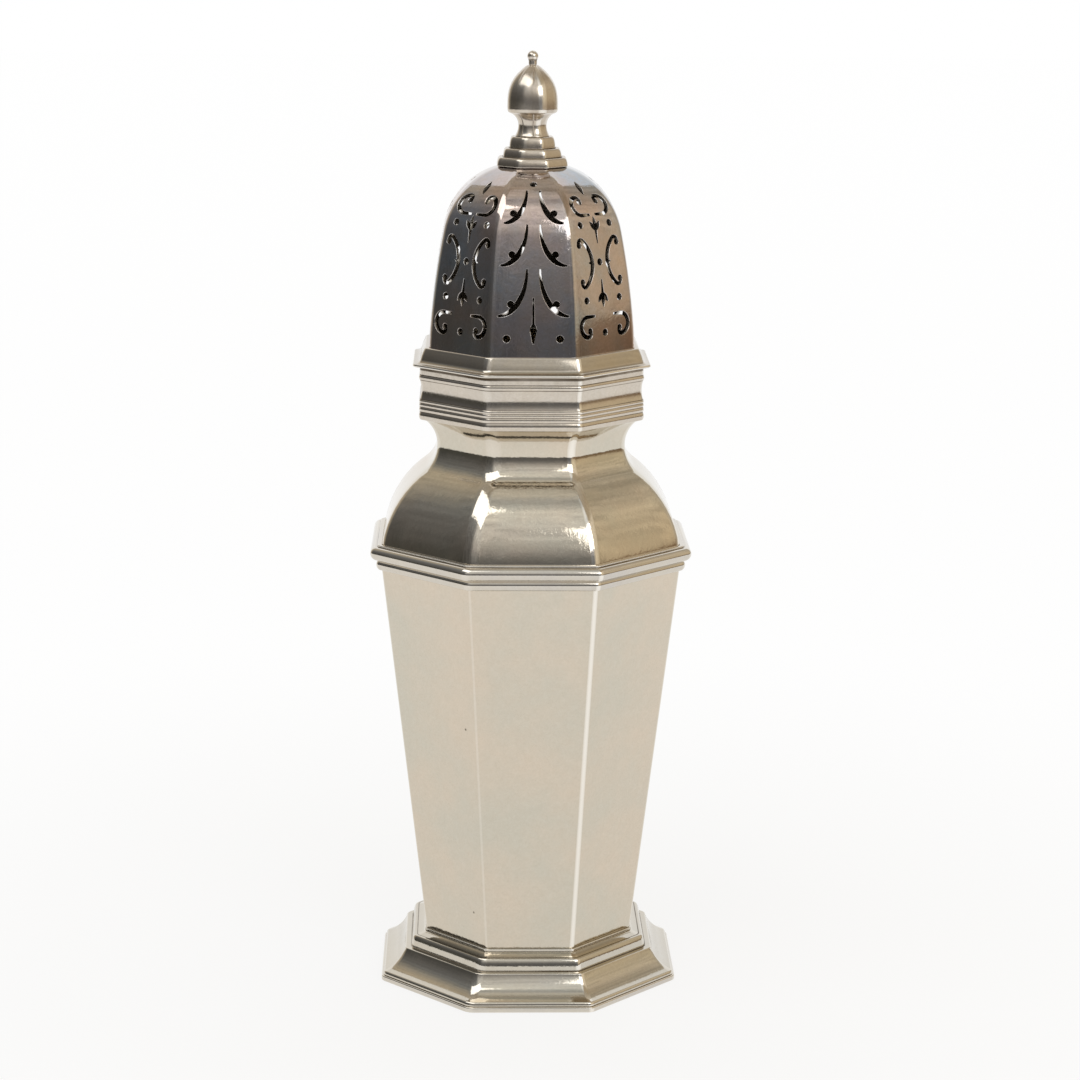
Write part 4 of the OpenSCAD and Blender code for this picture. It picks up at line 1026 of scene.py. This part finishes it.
def room_glow():
    """Walls and ceiling of the room, lit dimly, with soft patches where things stand about."""
    material = bpy.data.materials.new("dim_room")
    tree = cleared(material)
    at = add(tree, "TexCoord").outputs["Object"]
    way = add(tree, "VectorMath", [at], operation="NORMALIZE")
    up = add(tree, "SeparateXYZ", [way]).outputs[2]
    up = add(tree, "MapRange", {"Value": up, "From Min": WALL_START, "From Max": 1.0})
    level = add(tree, "VectorMath", (at, (1, 1, 0)), operation="MULTIPLY")
    level = add(tree, "VectorMath", [level], operation="NORMALIZE")
    x, y, _ = add(tree, "SeparateXYZ", [level]).outputs
    front, left, right = (
        add(tree, "ValToRGB", [up], stops=[(height_share(e), linear(colour)) for e, colour in wall])
        for wall in (FRONT_WALL, LEFT_WALL, RIGHT_WALL))
    # Where the front fades into each side and into what is behind.
    wall = front
    for place, start, end, fade, other in (
            (x, -0.55, -0.8, "SMOOTHSTEP", left), (x, 0.55, 0.8, "SMOOTHSTEP", right),
            (y, 0.2, 0.6, "LINEAR", linear(CEILING_BEHIND))):
        share = add(tree, "MapRange", {"Value": place, "From Min": start, "From Max": end},
                    interpolation_type=fade)
        wall = add(tree, "Mix", {FACTOR: share, MIX_A: wall, MIX_B: other},
                   data_type="RGBA").outputs[MIX_OUT]
    # The patches are 70 mm wide and six times as tall.
    tall = add(tree, "VectorMath", (at, (1, 1, 0.16)), operation="MULTIPLY")
    things = add(tree, "TexNoise", {"Vector": tall, "Scale": per_m(70), "Detail": 3.0, "Roughness": 0.6})
    patch = add(tree, "MapRange", {"Value": things, "From Min": 0.3, "From Max": 0.7,
                                   "To Min": 0.7, "To Max": 1.3})
    glow = add(tree, "Emission", {"Color": wall, "Strength": patch})
    add(tree, "OutputMaterial", {"Surface": glow})
    return material


def room():
    """Dim room in front of the table, mirrored in the silver: dark on the left and tan on the right."""
    verts, faces = [], []
    for low in range(ROOM_LOW, 90, ROOM_STEP):
        high = min(low + ROOM_STEP, 90)
        for az in range(-180, 180, ROOM_STEP):
            if low < ROOM_CEILING and abs(az + ROOM_STEP / 2) >= ROOM_WIDE:
                continue
            faces.append(range(len(verts), len(verts) + 4))
            for turn, rise in ((az, low), (az + ROOM_STEP, low), (az + ROOM_STEP, high), (az, high)):
                verts.append(ROOM_R * toward(turn, rise))
    obj = staged("dim_room", verts, faces, room_glow())
    obj.location = (0, 0, STUDIO_Z * MM)
    obj.visible_camera = False


def lamp(name, azimuth, elevation, away, width, height, radiance):
    """Soft box at a place round the caster, turned to it; radiance 1 is as bright as white."""
    light = bpy.data.lights.new(name, "AREA")
    light.shape = "RECTANGLE"
    light.size, light.size_y = width * MM, height * MM
    light.energy = radiance * pi * light.size * light.size_y
    obj = placed(name, light)
    back = toward(azimuth, elevation)
    obj.location = Vector((0, 0, STUDIO_Z * MM)) + back * away * MM
    obj.rotation_mode = "QUATERNION"
    obj.rotation_quaternion = back.to_track_quat("Z", "Y")
    obj.visible_camera = False


# The camera's place and lens, and how far it looks down, to the right and is rolled, in degrees.
CAMERA_AT, SENSOR, LENS = (-13.0, -590.3, 228.9), 36.0, 93.23
CAMERA_DOWN, CAMERA_RIGHT, CAMERA_ROLL = 12.69, 1.477, 0.42


def camera():
    """Long lens a little above the caster, square to its front panel, as in the photograph."""
    data = bpy.data.cameras.new("camera")
    data.sensor_width, data.lens = SENSOR, LENS
    data.clip_start, data.clip_end = 0.01, 100
    obj = placed("camera", data)
    obj.location = [c * MM for c in CAMERA_AT]
    obj.rotation_mode = "QUATERNION"
    aim = Euler((radians(90 - CAMERA_DOWN), 0, radians(-CAMERA_RIGHT))).to_quaternion()
    obj.rotation_quaternion = aim @ Quaternion((0, 0, 1), radians(CAMERA_ROLL))
    bpy.context.scene.camera = obj


table()
sweep()
room()
lamp("window_left", azimuth=-52, elevation=57, away=1000, width=860, height=470, radiance=1.6)
lamp("window_right", azimuth=28, elevation=31, away=1000, width=640, height=440, radiance=1.7)
camera()
bpy.context.scene.view_settings.view_transform = "Standard"
